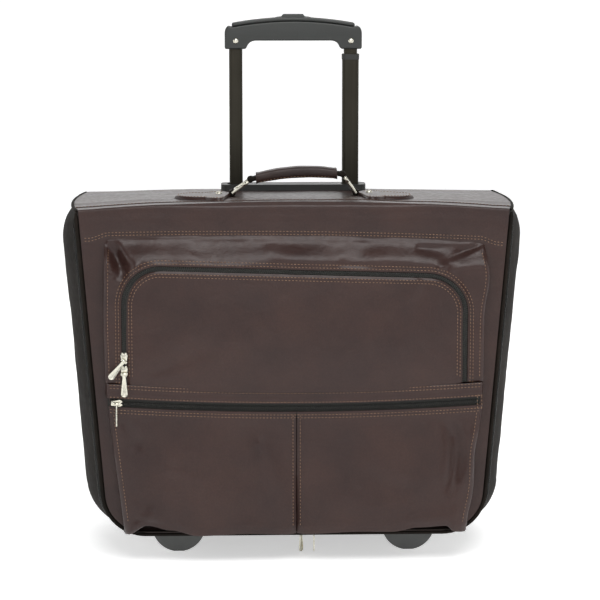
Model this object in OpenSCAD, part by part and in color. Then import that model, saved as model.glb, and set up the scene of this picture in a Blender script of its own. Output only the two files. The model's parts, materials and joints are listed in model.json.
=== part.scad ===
// Wheeled leather case: a soft case with a zipped front panel that opens upwards, front pockets,
// a three-stage trolley handle, a carry handle on two rings and two wheels in half-round runners.
// Millimetres. X is to the right, Y to the back, Z up; the floor is z = 0.

/* [Case] */
// Width of the top panel, and of the front at its top
case_w = 520; // [480:5:640]
// Depth from the front face to the back face
case_d = 210; // [190:5:260]
// Height of the case from its bottom to its top corners
case_h = 398; // [340:2:480]
// How much narrower the front is at the bottom, on each side
side_taper = 32; // [20:1:40]
// How far the side gussets swell outwards at mid depth
side_bulge = 28; // [16:1:36]
// Radius of the bottom corners
corner_r = 50; // [40:1:60]
// Height over which the swelling fades out under the top panel
shoulder_h = 42; // [30:1:55]
// Rise of the top panel in the middle, at its front edge
front_arch = 10; // [4:1:14]
// Rise of the top panel in the middle, at its back edge
back_arch = 3; // [1:1:6]
// Thickness of leather with its backing
wall_t = 3; // [2:0.2:4]
// Height of the case bottom above the floor
floor_gap = 34; // [30:1:42]

/* [Front panel] */
// Depth of the rim that the front panel carries round its edge
rim_d = 14; // [10:1:20]
// Width of each half of the main zip
main_tape_w = 2.7; // [2:0.1:4]
// Clearance all round the front panel, and round the wheel wells
seam_gap = 0.3; // [0.2:0.1:0.6]
// Radius of the piping cord
piping_r = 2.5; // [2:0.25:3.5]
// Height of the smooth band above the pockets
band_h = 36; // [24:2:50]

/* [Pockets] */
// How far the pockets stand out from the front face
pocket_d = 20; // [14:1:26]
// Distance from the case's top corners in to the sides of the pockets
pocket_in = 31; // [26:1:60]
// How much narrower the pockets are at their bottom, on each side
pocket_taper = 22; // [10:1:30]
// Height of the pocket hem above the case bottom
hem_rise = 6; // [4:1:12]
// Height of the flap hinge line above the case bottom
flap_rise = 190; // [160:2:210]
// Distance from the sides of the pocket in to the U-shaped zip
u_in = 23.5; // [20:0.5:40]
// Distance from the seam under the band down to the top of the U-shaped zip
u_drop = 37; // [20:1:60]
// Radius of the corners of the U-shaped zip
u_r = 45; // [30:1:55]
// Width of a pocket zip with its tape
zip_w = 10; // [8:0.5:12]
// Thickness of a zip tape
tape_t = 2; // [1.5:0.1:2.5]
// Thickness of the pocket leather
flap_t = 3; // [2:0.2:4]
// Height of the leather strip between the flap and the lower zip
strip_h = 17; // [12:1:24]
// Crown of the lower pockets
pocket_crown = 6; // [2:1:8]
// Height of the lower zip
low_zip_h = 12; // [10:1:16]

/* [Zip sliders] */
// Length of a slider along its zip
slider_l = 14; // [12:1:16]
// Thickness of a slider's plates
slider_t = 3; // [2.5:0.25:4]
// Distance from a slider's face to its pin
pin_rise = 2.8; // [2.6:0.1:4]
// The same on the lower pocket zip, where the pull hangs edge on
low_pin_rise = 4.5; // [4:0.1:6]
// Radius of a slider's pin
pin_r = 1.1; // [0.9:0.1:1.4]
// Radial clearance of a pull on its pin
pin_fit = 0.06; // [0.03:0.01:0.1]
// Length of a pull
pull_l = 28; // [22:1:32]
// Height of the ends of the two pulls under the case above the floor
pull_clear = 4.2; // [3:0.1:8]
// Width of a pull at its end
pull_w = 8; // [6:0.5:9]
// Thickness of a pull
pull_t = 1.6; // [1.2:0.2:2]
// Lean of the upper pull towards the side
pull_lean = 39; // [0:1:45]

/* [Trolley] */
// Offset of the trolley to the right
trolley_x = 4; // [0:1:8]
// Distance of the poles in front of the back face
trolley_in = 21; // [21:1:24]
// Distance between the poles
pole_gap = 146; // [130:2:160]
// Width of the inner tubes
tube_w = 17; // [15:0.5:18]
// Depth of the inner tubes
tube_d = 13; // [11:0.5:14]
// Wall of every tube
tube_wall = 1.2; // [1:0.1:1.5]
// Clearance between one tube and the next, all round
tube_gap = 0.8; // [0.5:0.1:1]
// Height of the grip top above the case top
grip_rise = 224; // [200:2:260]
// How far the grip stands out past the middle of each tube
grip_over = 14; // [12.5:0.5:18]
// Depth of the grip
grip_d = 26; // [24:1:30]

/* [Carry handle] */
// Offset of the carry handle to the right
handle_x = 2.25; // [0:0.25:4]
// How far the carry handle stands in front of mid depth
handle_in = 10; // [-10:1:20]
// Distance between the two ring hinges
ring_span = 153.5; // [140:0.5:170]
// Height of the ring hinges above the case corners
ring_rise = 10.5; // [10:0.5:14]
// Length of a ring between its end bars
ring_l = 28; // [24:1:32]
// Width of a ring between its side bars
ring_w = 30; // [26:1:34]
// Radius of the ring wire
ring_r = 2; // [1.6:0.1:2.4]
// Lean of the left ring above the horizontal
ring_left_a = 36; // [30:1:45]
// Lean of the right ring above the horizontal
ring_right_a = 54; // [45:1:60]
// Rise of the handle's arc above its ends
handle_sag = 6; // [4:1:10]
// Thickness of the handle
handle_t = 14; // [12:1:18]
// Depth of the handle
handle_d = 22; // [20:1:26]

/* [Wheels] */
// Distance of each wheel from the middle
wheel_x = 143; // [130:1:160]
// Radius of the wheels
wheel_r = 30; // [26:1:32]
// Width of the wheels
wheel_w = 22; // [18:1:24]
// How far the wheels stand out behind the back face
wheel_out = 20; // [12:1:26]
// Radius of the half-round runners
runner_r = 33; // [30:1:36]
// Radius of the axles
axle_r = 3; // [2.5:0.25:4]
// Radial clearance of a wheel on its axle
axle_fit = 0.06; // [0.03:0.01:0.1]

/* [Hidden] */

skin = 0.05;                  // gap between layers of one body
bottom_z = floor_gap;
top_z = bottom_z + case_h;
mid_y = 5;                    // mid depth of the case; the origin is the middle of the whole object
front_y = mid_y - case_d / 2;
back_y = mid_y + case_d / 2;
trolley_y = back_y - trolley_in;
handle_y = mid_y - handle_in;
wheel_y = back_y + wheel_out - wheel_r;
lean = atan(side_taper / case_h);
corner_z = bottom_z + corner_r;
corner_x = half_w(corner_z) - corner_r / cos(lean);
gusset_top = top_z - wall_t - skin;
shoulder_z = top_z - shoulder_h;
shoulder_a = asin((gusset_top - shoulder_z) / shoulder_h);
top_spread = side_bulge * cos(shoulder_a);
rim_y = front_y + rim_d;      // back edge of the front panel's rim
front_tape_y = rim_y + main_tape_w;
rear_tape_y = front_tape_y + 2 * seam_gap;
gusset_y = rear_tape_y + main_tape_w;
zip_top_z = top_z - 22;       // upper ends of the main zip
main_zip_y = front_tape_y + seam_gap;
pocket_y = front_y - pocket_d;
seam_z = top_z - band_h;      // seam under the upper band
hem_z = bottom_z + hem_rise;
flap_z = bottom_z + flap_rise;
u_top_z = seam_z - u_drop;
strip_z = flap_z - strip_h;
low_zip_z = strip_z - low_zip_h / 2;
pocket_top_z = strip_z - low_zip_h;
pocket_half = case_w / 2 - pocket_in;
u_half = pocket_half - u_in;
slider_w = zip_w - 1;         // a slider runs between the flap and its surround
plate_top = top_z - 6;        // the steel plate under the handle
rivet_x = ring_span / 2 + 16.5;
rivet_r = 2;
board_t = 2;
cover_y = back_y - 36;        // the board in front of the trolley tubes
sleeve_y = back_y - 75;       // front of the laptop sleeve
sleeve_t = 8;
sleeve_half = case_w / 2 - 75;
sleeve_z = bottom_z + 38;
sleeve_h = case_h - 140;
wheel_side = 0.6;             // clearance on each side of a wheel
cheek_t = 5;                  // thickness of a wheel well's side walls
well_half = wheel_w / 2 + wheel_side + cheek_t;
well_top = wheel_r * 2 + 6.5;
slot_r = wheel_r + 3.5;
runner_front = front_y + 39;
runner_cz = runner_r - 0.5;   // a 0.5 mm deep flat rests on the floor
hub_r = wheel_r - 8;
axle_l = 2 * (well_half - 1);
well_front = wheel_y - slot_r - 2.5;
screw_ys = [runner_front + 22, well_front - 35];
screw_r = 2;
screw_z = bottom_z - 10;      // under side of the screws' heads
mid_w = tube_w + 2 * (tube_gap + tube_wall);
mid_d = tube_d + 2 * (tube_gap + tube_wall);
outer_w = mid_w + 2 * (tube_gap + tube_wall);
outer_d = mid_d + 2 * (tube_gap + tube_wall);
tube_foot = bottom_z + 22;
bezel_d = outer_d + 12;
bezel_z = top_z + arch(trolley_y - bezel_d / 2) + 2 * skin;   // it stands flat on the arched top
bezel_h = top_z + 12 - bezel_z;
stage_z = tube_foot + 6;      // foot of a middle stage that is pushed down
stage_l = top_z + 8 - stage_z;
inner_l = stage_l + 22;       // length of the inner tubes
grip_w = pole_gap + 2 * grip_over;
grip_z = top_z + grip_rise;   // top of the grip
grip_drop = 9;                // how far the grip's top falls towards its ends
grip_bar_z = grip_z - 29.5;
leg_z = grip_z - 40;
leg_w = 27;
cap_half = grip_w / 2 - 9;
cap_t = 5;
button_l = 52;
button_d = 12;
button_travel = 3.5;
button_bottom = grip_z - 9;
spring_z = button_bottom - button_travel - 2.9;
handle_a = atan2(ring_l * (sin(ring_right_a) - sin(ring_left_a)),
                 ring_span - ring_l * (cos(ring_left_a) + cos(ring_right_a)));
handle_half = norm([ring_l * (sin(ring_right_a) - sin(ring_left_a)),
                    ring_span - ring_l * (cos(ring_left_a) + cos(ring_right_a))]) / 2;
handle_cx = handle_x + ring_l * (cos(ring_left_a) - cos(ring_right_a)) / 2;
handle_cz = top_z + ring_rise + ring_l * (sin(ring_left_a) + sin(ring_right_a)) / 2;
handle_arc_r = (pow(handle_half, 2) + pow(handle_sag, 2)) / (2 * handle_sag);
loop_w = 20;
loop_r = 4.2;
loop_bore = ring_r + 0.35;
open_bore = ring_r + 1.2;     // the handle's right loop has play on its ring
$fn = 48;

// Half width of the front outline at height z
function half_w(z) = case_w / 2 - side_taper * (top_z - z) / case_h;
// Rise and half width of the top panel at depth y, and its height at a point
function arch(y) = front_arch + (back_arch - front_arch) * (y - front_y) / case_d;
function top_half(y) = case_w / 2 + top_spread * swell(y);
function top_at(x, y) = top_z + arch(y) * (1 - pow(x / top_half(y), 2));
function pocket_w(z) = pocket_half - pocket_taper * max(0, flap_z - z) / (flap_z - hem_z);
// How much of the swelling there is at depth y
function swell(y) = 1 - pow(2 * (y - mid_y) / case_d, 2);
function ease(w) = w * w * (3 - 2 * w);
function flip_x(path) = [for (i = [len(path) - 1:-1:0]) let (p = path[i]) [-p[0], p[1], -p[2], p[3], p[4]]];

// Stretches of the right half of the outline. Each point is [x, z, normal x, normal z, swelling].
function shoulder(top) = [for (i = [0:5]) let (a = top * (1 - i / 5), z = shoulder_z + shoulder_h * sin(a))
  [half_w(z), z, cos(lean), -sin(lean), side_bulge * cos(a)]];
function side() = let (z_end = corner_z - corner_r * sin(lean)) [for (i = [1:4])
  let (z = shoulder_z + (z_end - shoulder_z) * i / 4) [half_w(z), z, cos(lean), -sin(lean), side_bulge]];
function corner() = [for (i = [0:8]) let (t = -lean - (90 - lean) * i / 8)
  [corner_x + corner_r * cos(t), corner_z + corner_r * sin(t), cos(t), sin(t), side_bulge * ease(1 - i / 8)]];
function tail(path) = [for (i = [1:len(path) - 1]) path[i]];
function right_half(top) = concat(shoulder(top), side(), tail(corner()));
function whole(half) = concat(half, flip_x(half));

// Closed outline of the case seen from the front, drawn in by d
function outline(d, rise) = concat(
  [for (i = [0:8]) let (t = -lean - (90 - lean) * i / 8)
    [corner_x + (corner_r - d) * cos(t), corner_z + (corner_r - d) * sin(t)]],
  [for (i = [8:-1:0]) let (t = -lean - (90 - lean) * i / 8)
    [-corner_x - (corner_r - d) * cos(t), corner_z + (corner_r - d) * sin(t)]],
  [for (i = [0:16]) let (x = (i / 8 - 1) * (half_w(top_z) - d))
    [x, top_z - d + rise * (1 - pow(x / (case_w / 2), 2))]]);

// Closed solid between two grids of points, the first on its outer side
module slab(outer, inner) {
  ni = len(outer);
  nj = len(outer[0]);
  n = ni * nj;
  top = [for (i = [0:ni - 2]) for (j = [0:nj - 2]) let (a = i * nj + j) each
    [[a, a + 1, a + nj + 1], [a, a + nj + 1, a + nj]]];
  under = [for (f = top) [f[2] + n, f[1] + n, f[0] + n]];
  ends = [for (i = [0:ni - 2]) let (a = i * nj, b = a + nj - 1) each
    [[a, a + nj, a + nj + n], [a, a + nj + n, a + n], [b, b + n, b + nj + n], [b, b + nj + n, b + nj]]];
  sides = [for (j = [0:nj - 2]) let (a = j, b = (ni - 1) * nj + j) each
    [[a, a + n, a + 1 + n], [a, a + 1 + n, a + 1], [b, b + 1, b + 1 + n], [b, b + 1 + n, b + n]]];
  polyhedron([for (g = [outer, inner]) for (row = g) each row], concat(top, under, ends, sides));
}

// Strip of gusset that follows a path from depth y0 to y1
module band(path, y0, y1, t, ny) {
  function skin_at(d) = [for (p = path) [for (j = [0:ny])
    let (y = y0 + (y1 - y0) * j / ny, b = p[4] * swell(y) - d) [p[0] + p[2] * b, y, p[1] + p[3] * b]]];
  slab(skin_at(0), skin_at(t));
}

// Plate between two depths, from an outline in X and Z
module plate(y0, y1) {
  translate([0, y1, 0]) rotate([90, 0, 0]) linear_extrude(y1 - y0) children();
}

module rounded(w, d, r) {
  square([w - 2 * r, d], center = true);
  square([w, d - 2 * r], center = true);
  for (x = [-1, 1]) for (y = [-1, 1]) translate([x * (w / 2 - r), y * (d / 2 - r)]) circle(r);
}

module box(x0, x1, y0, y1, z0, z1) {
  translate([x0, y0, z0]) cube([x1 - x0, y1 - y0, z1 - z0]);
}

// Space that the wheels and their wells take out of the case
module well_cuts() {
  for (s = [-1, 1]) translate([s * wheel_x, 0, 0])
    box(-well_half - seam_gap, well_half + seam_gap, well_front - seam_gap, back_y + 20,
        0, well_top + seam_gap);
}

module screw_holes() {
  for (s = [-1, 1]) for (y = screw_ys) translate([s * wheel_x, y, bottom_z - 2])
    cylinder(r = screw_r + skin, h = 12);
}

module rivet_holes() {
  for (s = [-1, 1]) translate([handle_x + s * rivet_x, handle_y, plate_top - 8])
    cylinder(r = rivet_r + skin, h = 30);
}

// ---------------------------------------------------------------- case walls
module back_panel() color("#3a2c2b") difference() {
  plate(back_y - wall_t, back_y) polygon(outline(wall_t + skin, back_arch));
  well_cuts();
}

module stiffener_boards() color("#26241f") difference() {
  union() {
    plate(back_y - wall_t - board_t - skin, back_y - wall_t - skin)
      polygon(outline(wall_t + board_t + 2, back_arch));
    box(-corner_x + 10, corner_x - 10, gusset_y + 2, back_y - wall_t - board_t - 2 * skin,
        bottom_z + wall_t + skin, bottom_z + wall_t + skin + board_t);
  }
  well_cuts();
  screw_holes();
}

module right_gusset() color("#2b2523")
  band(concat(shoulder(shoulder_a), side()), gusset_y, back_y, wall_t, 10);

module left_gusset() mirror([1, 0, 0]) right_gusset();

module bottom_gusset() color("#2b2523") difference() {
  band(whole(corner()), gusset_y, back_y, wall_t, 10);
  well_cuts();
  screw_holes();
}

module top_panel() {
  y0 = front_y + wall_t + seam_gap;
  function skin_at(d) = [for (i = [0:16]) let (u = i / 8 - 1) [for (j = [0:10])
    let (y = y0 + (back_y - y0) * j / 10, x = u * top_half(y)) [x, y, top_at(x, y) - d]]];
  color("#4a3c3a") difference() {
    slab(skin_at(0), skin_at(wall_t));
    rivet_holes();
    poles() linear_extrude(40, center = true) square([outer_w + 2 * skin, outer_d + 2 * skin], center = true);
  }
}

module handle_plate() color("#8d9096") difference() {
  box(handle_x - rivet_x - 18, handle_x + rivet_x + 18, handle_y - 20, handle_y + 20,
      plate_top - 2.5, plate_top);
  rivet_holes();
}

module main_zip_rear() color("#2e2e28")
  band(whole(right_half(zip_angle())), rear_tape_y, gusset_y - skin, tape_t, 1);

function zip_angle() = asin((zip_top_z - shoulder_z) / shoulder_h);

module trolley_cover() color("#3b3f45") difference() {
  plate(cover_y, cover_y + board_t) polygon(outline(12, back_arch));
  well_cuts();
}

module laptop_sleeve() color("#4a4f57") difference() {
  box(-sleeve_half, sleeve_half, sleeve_y, cover_y - skin, sleeve_z, sleeve_z + sleeve_h);
  box(-sleeve_half + sleeve_t, sleeve_half - sleeve_t, sleeve_y + sleeve_t, cover_y + 1,
      sleeve_z + sleeve_t, sleeve_z + sleeve_h + 1);
}

// ---------------------------------------------------------------- trolley
// Places its children on both poles, at the height of the case top
module poles() {
  for (s = [-1, 1]) translate([trolley_x + s * pole_gap / 2, trolley_y, top_z]) children();
}

module pole(s, z0, z1, w, d) {
  translate([trolley_x + s * pole_gap / 2, trolley_y, z0]) linear_extrude(z1 - z0) difference() {
    rounded(w, d, 4);
    rounded(w - 2 * tube_wall, d - 2 * tube_wall, 4 - tube_wall);
  }
}

module outer_tubes() color("#55585a") for (s = [-1, 1])
  pole(s, tube_foot + skin, bezel_z - skin, outer_w, outer_d);

module trolley_bezel() color("#1f201e") translate([trolley_x, trolley_y, bezel_z]) difference() {
  linear_extrude(bezel_h) rounded(pole_gap + outer_w + 14, bezel_d, 8);
  for (s = [-1, 1]) translate([s * pole_gap / 2, 0, -1])
    linear_extrude(bezel_h + 2) rounded(mid_w + 2 * tube_gap, mid_d + 2 * tube_gap, 4);
}

module tube_base() color("#1f201e")
  box(trolley_x - pole_gap / 2 - outer_w, trolley_x + pole_gap / 2 + outer_w,
      trolley_y - outer_d / 2 - 2, back_y - wall_t - board_t - 2 * skin,
      bottom_z + wall_t + board_t + 2 * skin, tube_foot);

// The right stage stands pulled out and the left stage stands down, as the trolley stops half way
module mid_tube_right() color("#2f2d28") {
  top = leg_z - 6.5;
  pole(1, top - stage_l, top, mid_w, mid_d);
}

module mid_tube_left() color("#2f2d28") pole(-1, stage_z, stage_z + stage_l, mid_w, mid_d);

module inner_tubes() color("#2f2d28") difference() {
  for (s = [-1, 1]) pole(s, grip_z - 16 - inner_l, grip_z - 16, tube_w, tube_d);
  grip_pins(rivet_r + skin, grip_d);
}

module grip_pins(r, l) {
  poles() translate([0, 0, leg_z + 10 - top_z]) rotate([90, 0, 0]) cylinder(r = r, h = l, center = true);
}

// Height of the grip's top at x from its middle
function grip_top(x) = grip_z - grip_drop * pow(2 * x / grip_w, 2);

module grip_outline(inset) {
  half = grip_w / 2;
  leg_in = half - leg_w;
  polygon(concat(
    [[-half, leg_z], [-half, grip_top(half) - 6], [-half + 4, grip_top(half) - 1]],
    [for (i = [-8:8]) let (x = i / 8 * cap_half) [x, grip_top(x) - inset]],
    [[half - 4, grip_top(half) - 1], [half, grip_top(half) - 6], [half, leg_z], [leg_in, leg_z],
     [leg_in - 2, leg_z + 5], [leg_in - 9, grip_bar_z], [-leg_in + 9, grip_bar_z],
     [-leg_in + 2, leg_z + 5], [-leg_in, leg_z]]));
}

module grip_body() color("#3d403d") difference() {
  translate([trolley_x, trolley_y, 0]) plate(-grip_d / 2, grip_d / 2) grip_outline(cap_t);
  poles() translate([0, 0, leg_z - 1 - top_z]) linear_extrude(grip_z - 16 - leg_z + 1)
    rounded(tube_w + 2 * skin, tube_d + 2 * skin, 4 + skin);
  translate([trolley_x, trolley_y, 0]) button_well(spring_z);
  grip_pins(rivet_r + skin, grip_d + 2);
}

module button_well(z) {
  box(-button_l / 2 - 0.4, button_l / 2 + 0.4, -button_d / 2 - 0.4, button_d / 2 + 0.4, z, grip_z + 1);
}

module grip_cap() color("#3d403d") translate([trolley_x, trolley_y, 0]) difference() {
  plate(-grip_d / 2, grip_d / 2) polygon(concat(
    [for (i = [-8:8]) let (x = i / 8 * (cap_half - skin)) [x, grip_top(x)]],
    [for (i = [8:-1:-8]) let (x = i / 8 * (cap_half - skin)) [x, grip_top(x) - cap_t + skin]]));
  button_well(spring_z);
}

module grip_rivets() color("#c8c8b4") {
  grip_pins(rivet_r, grip_d + 0.2);
  poles() for (s = [-1, 1]) translate([0, s * (grip_d / 2 + 0.8), leg_z + 10 - top_z]) rotate([90, 0, 0])
    cylinder(r = 3.2, h = 1.5, center = true);
}

module release_button() color("#4b4e4b") translate([trolley_x, trolley_y, 0])
  box(-button_l / 2, button_l / 2, -button_d / 2, button_d / 2, button_bottom, grip_z + 4);

module button_spring() color("#9a9c98") {
  turns = 4;
  steps = 12;
  wire = 0.4;
  coil_r = 3.5;
  rise = button_bottom - spring_z - 2 * wire - 0.2;
  ring = [for (i = [0:turns * steps]) let (a = i * 360 / steps) [for (k = [0:7]) let (b = k * 45)
    [(coil_r + wire * cos(b)) * cos(a), (coil_r + wire * cos(b)) * sin(a),
     wire + 0.1 + rise * i / (turns * steps) + wire * sin(b)]]];
  n = len(ring);
  translate([trolley_x, trolley_y, spring_z]) polyhedron([for (r = ring) each r], concat(
    [for (i = [0:n - 2]) for (k = [0:7]) let (a = i * 8 + k, b = i * 8 + (k + 1) % 8)
      each [[a, b, b + 8], [a, b + 8, a + 8]]],
    [[for (k = [7:-1:0]) k], [for (k = [0:7]) (n - 1) * 8 + k]]));
}

// ---------------------------------------------------------------- runners and wheels
module runner_right() color("#464646") translate([wheel_x, 0, 0]) difference() {
  union() {
    intersection() {
      translate([0, runner_front, runner_cz]) rotate([-90, 0, 0])
        cylinder(r = runner_r, h = back_y - wall_t - runner_front, $fn = 96);
      box(-runner_r, runner_r, runner_front - 1, back_y, 0, bottom_z - skin);
    }
    box(-well_half, well_half, well_front, back_y - wall_t, bottom_z - 2, well_top);
  }
  translate([0, wheel_y, wheel_r]) rotate([0, 90, 0])
    cylinder(r = slot_r, h = wheel_w + 2 * wheel_side, center = true, $fn = 96);
  box(-wheel_w / 2 - wheel_side, wheel_w / 2 + wheel_side, wheel_y, back_y, -1, wheel_r + slot_r);
  translate([0, wheel_y, wheel_r]) rotate([0, 90, 0]) cylinder(r = axle_r, h = axle_l, center = true);
  for (y = screw_ys) {
    translate([0, y, -1]) cylinder(r = 5, h = screw_z + 1);
    translate([0, y, 0]) cylinder(r = screw_r + skin, h = bottom_z + 16);
  }
}

module runner_left() mirror([1, 0, 0]) runner_right();

module runner_screws() color("#9a9c98") for (s = [-1, 1]) for (y = screw_ys) translate([s * wheel_x, y, 0]) {
  translate([0, 0, screw_z - 2.5]) cylinder(r = 4, h = 2.5);
  translate([0, 0, screw_z - 0.5]) cylinder(r = screw_r, h = bottom_z - screw_z + wall_t + board_t + 3.5);
}

module axles() color("#9a9c98") for (s = [-1, 1]) translate([s * wheel_x, wheel_y, wheel_r])
  rotate([0, 90, 0]) cylinder(r = axle_r, h = axle_l, center = true);

module wheel_hub_right() color("#5a5c5c") translate([wheel_x, wheel_y, wheel_r]) rotate([0, 90, 0])
  difference() {
    cylinder(r = hub_r, h = wheel_w - 2, center = true, $fn = 64);
    cylinder(r = axle_r + axle_fit, h = wheel_w, center = true);
    for (s = [-1, 1]) translate([0, 0, s * (wheel_w / 2 - 1)]) rotate_extrude($fn = 64)
      translate([8, -3]) square([hub_r - 11, 6]);
  }

module wheel_hub_left() mirror([1, 0, 0]) wheel_hub_right();

module wheel_tyre_right() color("#2c2c2c") translate([wheel_x, wheel_y, wheel_r]) rotate([0, 90, 0])
  rotate_extrude($fn = 96) polygon([[hub_r, -wheel_w / 2], [wheel_r - 2.5, -wheel_w / 2],
    [wheel_r - 0.7, -wheel_w / 2 + 1.2], [wheel_r, -wheel_w / 2 + 3.5], [wheel_r, wheel_w / 2 - 3.5],
    [wheel_r - 0.7, wheel_w / 2 - 1.2], [wheel_r - 2.5, wheel_w / 2], [hub_r, wheel_w / 2]]);

module wheel_tyre_left() mirror([1, 0, 0]) wheel_tyre_right();

// ---------------------------------------------------------------- carry handle
module tab(s) {
  pivot = handle_x + s * ring_span / 2;
  l = 66;
  half = 52;
  lift = 3.4;
  // The tab is widest near the ring and comes to a blunt point
  function width(u) = half * (0.72 + 0.28 * sin(180 * min(1, u * 2.2))) * sqrt(max(0.012, 1 - pow(u, 3)));
  function skin_at(d) = [for (i = [0:12]) let (u = s > 0 ? i / 12 : 1 - i / 12, x = pivot + s * (5 + l * u))
    [for (j = [0:8]) let (v = j / 4 - 1, y = handle_y - 12 + v * width(u))
      [x, y, top_at(x, y) + (d > 0 ? 2 * skin : lift * (1.25 - 0.5 * v * v * v * v))]]];
  difference() {
    union() {
      slab(skin_at(0), skin_at(1));
      translate([pivot, handle_y, top_z + ring_rise]) rotate([90, 0, 0])
        cylinder(r = loop_r, h = loop_w, center = true);
      translate([pivot + s * 5, handle_y, top_z + ring_rise - 1.4])
        cube([10, loop_w, 4.6], center = true);
    }
    translate([pivot, handle_y, top_z + ring_rise]) rotate([90, 0, 0])
      cylinder(r = loop_bore, h = loop_w + 2, center = true);
    rivet_holes();
  }
}

module tab_left() color("#544643") tab(-1);
module tab_right() color("#544643") tab(1);

module tab_rivets() color("#c8c8b4") for (s = [-1, 1]) {
  x = handle_x + s * rivet_x;
  head = top_at(x, handle_y) + 4.4;
  translate([x, handle_y, 0]) {
    translate([0, 0, plate_top - 4]) cylinder(r = 4, h = 1.5 - skin);
    translate([0, 0, plate_top - 3]) cylinder(r = rivet_r, h = head - plate_top + 3.5);
    translate([0, 0, head]) cylinder(r = 4.2, h = 1.6);
  }
}

// Rectangular wire ring whose lower bar lies on the origin, leaning by a towards -X or +X
module ring(s, a) {
  bend = 4;
  translate([handle_x + s * ring_span / 2, handle_y, top_z + ring_rise]) mirror([s > 0 ? 1 : 0, 0, 0])
    rotate([0, -a, 0]) {
      for (x = [0, ring_l]) translate([x, 0, 0]) rotate([90, 0, 0])
        cylinder(r = ring_r, h = ring_w - 2 * bend, center = true);
      for (y = [-1, 1]) translate([bend, y * ring_w / 2, 0]) rotate([0, 90, 0])
        cylinder(r = ring_r, h = ring_l - 2 * bend);
      for (x = [0, 1]) for (y = [0, 1]) translate([ring_l / 2, 0, 0]) mirror([x, 0, 0]) mirror([0, y, 0])
        translate([ring_l / 2 - bend, ring_w / 2 - bend, 0]) rotate_extrude(angle = 90)
          translate([bend, 0]) circle(ring_r);
    }
}

module ring_left() color("#c4c6b0") ring(-1, ring_left_a);
module ring_right() color("#c4c6b0") ring(1, ring_right_a);

// Places its children with the handle's middle at the origin and its arc in the X-Z plane
module at_handle() {
  translate([handle_cx, handle_y, handle_cz]) rotate([0, -handle_a, 0]) children();
}

module handle_arc(half_a) {
  translate([0, 0, handle_sag - handle_arc_r]) rotate([90, 0, 0]) rotate([0, 0, 90 - half_a])
    rotate_extrude(angle = 2 * half_a, $fn = 96) translate([handle_arc_r, 0]) children();
}

module handle_sleeve() color("#43332f") at_handle() handle_arc(asin(handle_half / handle_arc_r) - 1.6)
  difference() {
    rounded(handle_t, handle_d, 6.5);
    circle(4 + skin);
  }

module handle_core() {
  full = asin(handle_half / handle_arc_r);
  color("#3a2c2b") at_handle() difference() {
    union() {
      handle_arc(full - 0.9) circle(4);
      for (s = [-1, 1]) translate([s * handle_half, 0, 0]) rotate([90, 0, 0])
        cylinder(r = s > 0 ? loop_r + 0.9 : loop_r, h = loop_w, center = true);
    }
    for (s = [-1, 1]) translate([s * handle_half, 0, 0]) rotate([90, 0, 0])
      cylinder(r = s > 0 ? open_bore : loop_bore, h = loop_w + 2, center = true);
  }
}

// ---------------------------------------------------------------- front panel
module front_board() color("#43332f") plate(front_y, front_y + wall_t) polygon(outline(0, front_arch));

module front_rim() color("#2b2523")
  band(whole(right_half(shoulder_a)), front_y + wall_t + skin, rim_y - skin, wall_t, 2);

module main_zip_front() color("#2e2e28") band(whole(right_half(zip_angle())), rim_y, front_tape_y, tape_t, 1);

module front_piping() {
  path = whole(right_half(shoulder_a));
  off = piping_r + skin;
  n = len(path);
  color("#2a2120") polyhedron(
    [for (p = path) for (k = [0:7]) let (a = k * 45)
      [p[0] + p[2] * (off + piping_r * cos(a)), front_y + 1 + piping_r * sin(a),
       p[1] + p[3] * (off + piping_r * cos(a))]],
    concat([for (i = [0:n - 2]) for (k = [0:7]) let (a = i * 8 + k, b = i * 8 + (k + 1) % 8)
      each [[a, b, b + 8], [a, b + 8, a + 8]]], [[for (k = [7:-1:0]) k], [for (k = [0:7]) (n - 1) * 8 + k]]));
}

module upper_band() color("#4a3c3a") plate(front_y - 2, front_y - skin) polygon(concat(
  [[half_w(seam_z) - 3, seam_z], [-half_w(seam_z) + 3, seam_z]],
  [for (i = [0:16]) let (x = (i / 8 - 1) * (half_w(top_z) - 3))
    [x, top_z - 1 + front_arch * (1 - pow(x / (case_w / 2), 2))]]));

// Outline of the U-shaped zip, drawn out by d
module u_shape(d, z0) {
  translate([-u_half - d, z0]) square([2 * (u_half + d), u_top_z - u_r - z0]);
  translate([-u_half + u_r, z0]) square([2 * (u_half - u_r), u_top_z + d - z0]);
  for (s = [-1, 1]) translate([s * (u_half - u_r), u_top_z - u_r]) circle(u_r + d, $fn = 64);
}

module flap_surround() color("#43332f") plate(pocket_y, front_y - skin) difference() {
  polygon([[-pocket_half, flap_z + skin], [pocket_half, flap_z + skin], [pocket_half, seam_z - skin],
    [-pocket_half, seam_z - skin]]);
  u_shape(-1, flap_z - 1);
}

module u_zip() color("#2e2e28") plate(pocket_y - tape_t, pocket_y - skin) difference() {
  u_shape(zip_w / 2, flap_z + skin);
  u_shape(-zip_w / 2, flap_z - 1);
}

module hinge_strip() color("#43332f") box(-pocket_half, pocket_half, pocket_y - flap_t - 1, front_y - skin,
  strip_z + skin, flap_z);

module low_zip() color("#2e2e28") box(-pocket_half + 1, pocket_half - 1, pocket_y - tape_t, front_y - skin,
  pocket_top_z, strip_z);

module lower_pocket(s) {
  seam_x = 0.8;
  function at(u, z) = seam_x + (pocket_w(z) - seam_x) * u;
  function face(d) = [for (i = [0:10]) let (u = s > 0 ? i / 10 : 1 - i / 10) [for (j = [0:8])
    let (v = j / 4 - 1, z = hem_z + (pocket_top_z - skin - hem_z) * j / 8,
         puff = pocket_crown * (1 - pow(2 * u - 1, 4)) * (1 - v * v))
    [s * at(u, z), d > 0 ? front_y - skin : pocket_y - tape_t - puff, z]]];
  slab(face(0), face(1));
}

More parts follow.
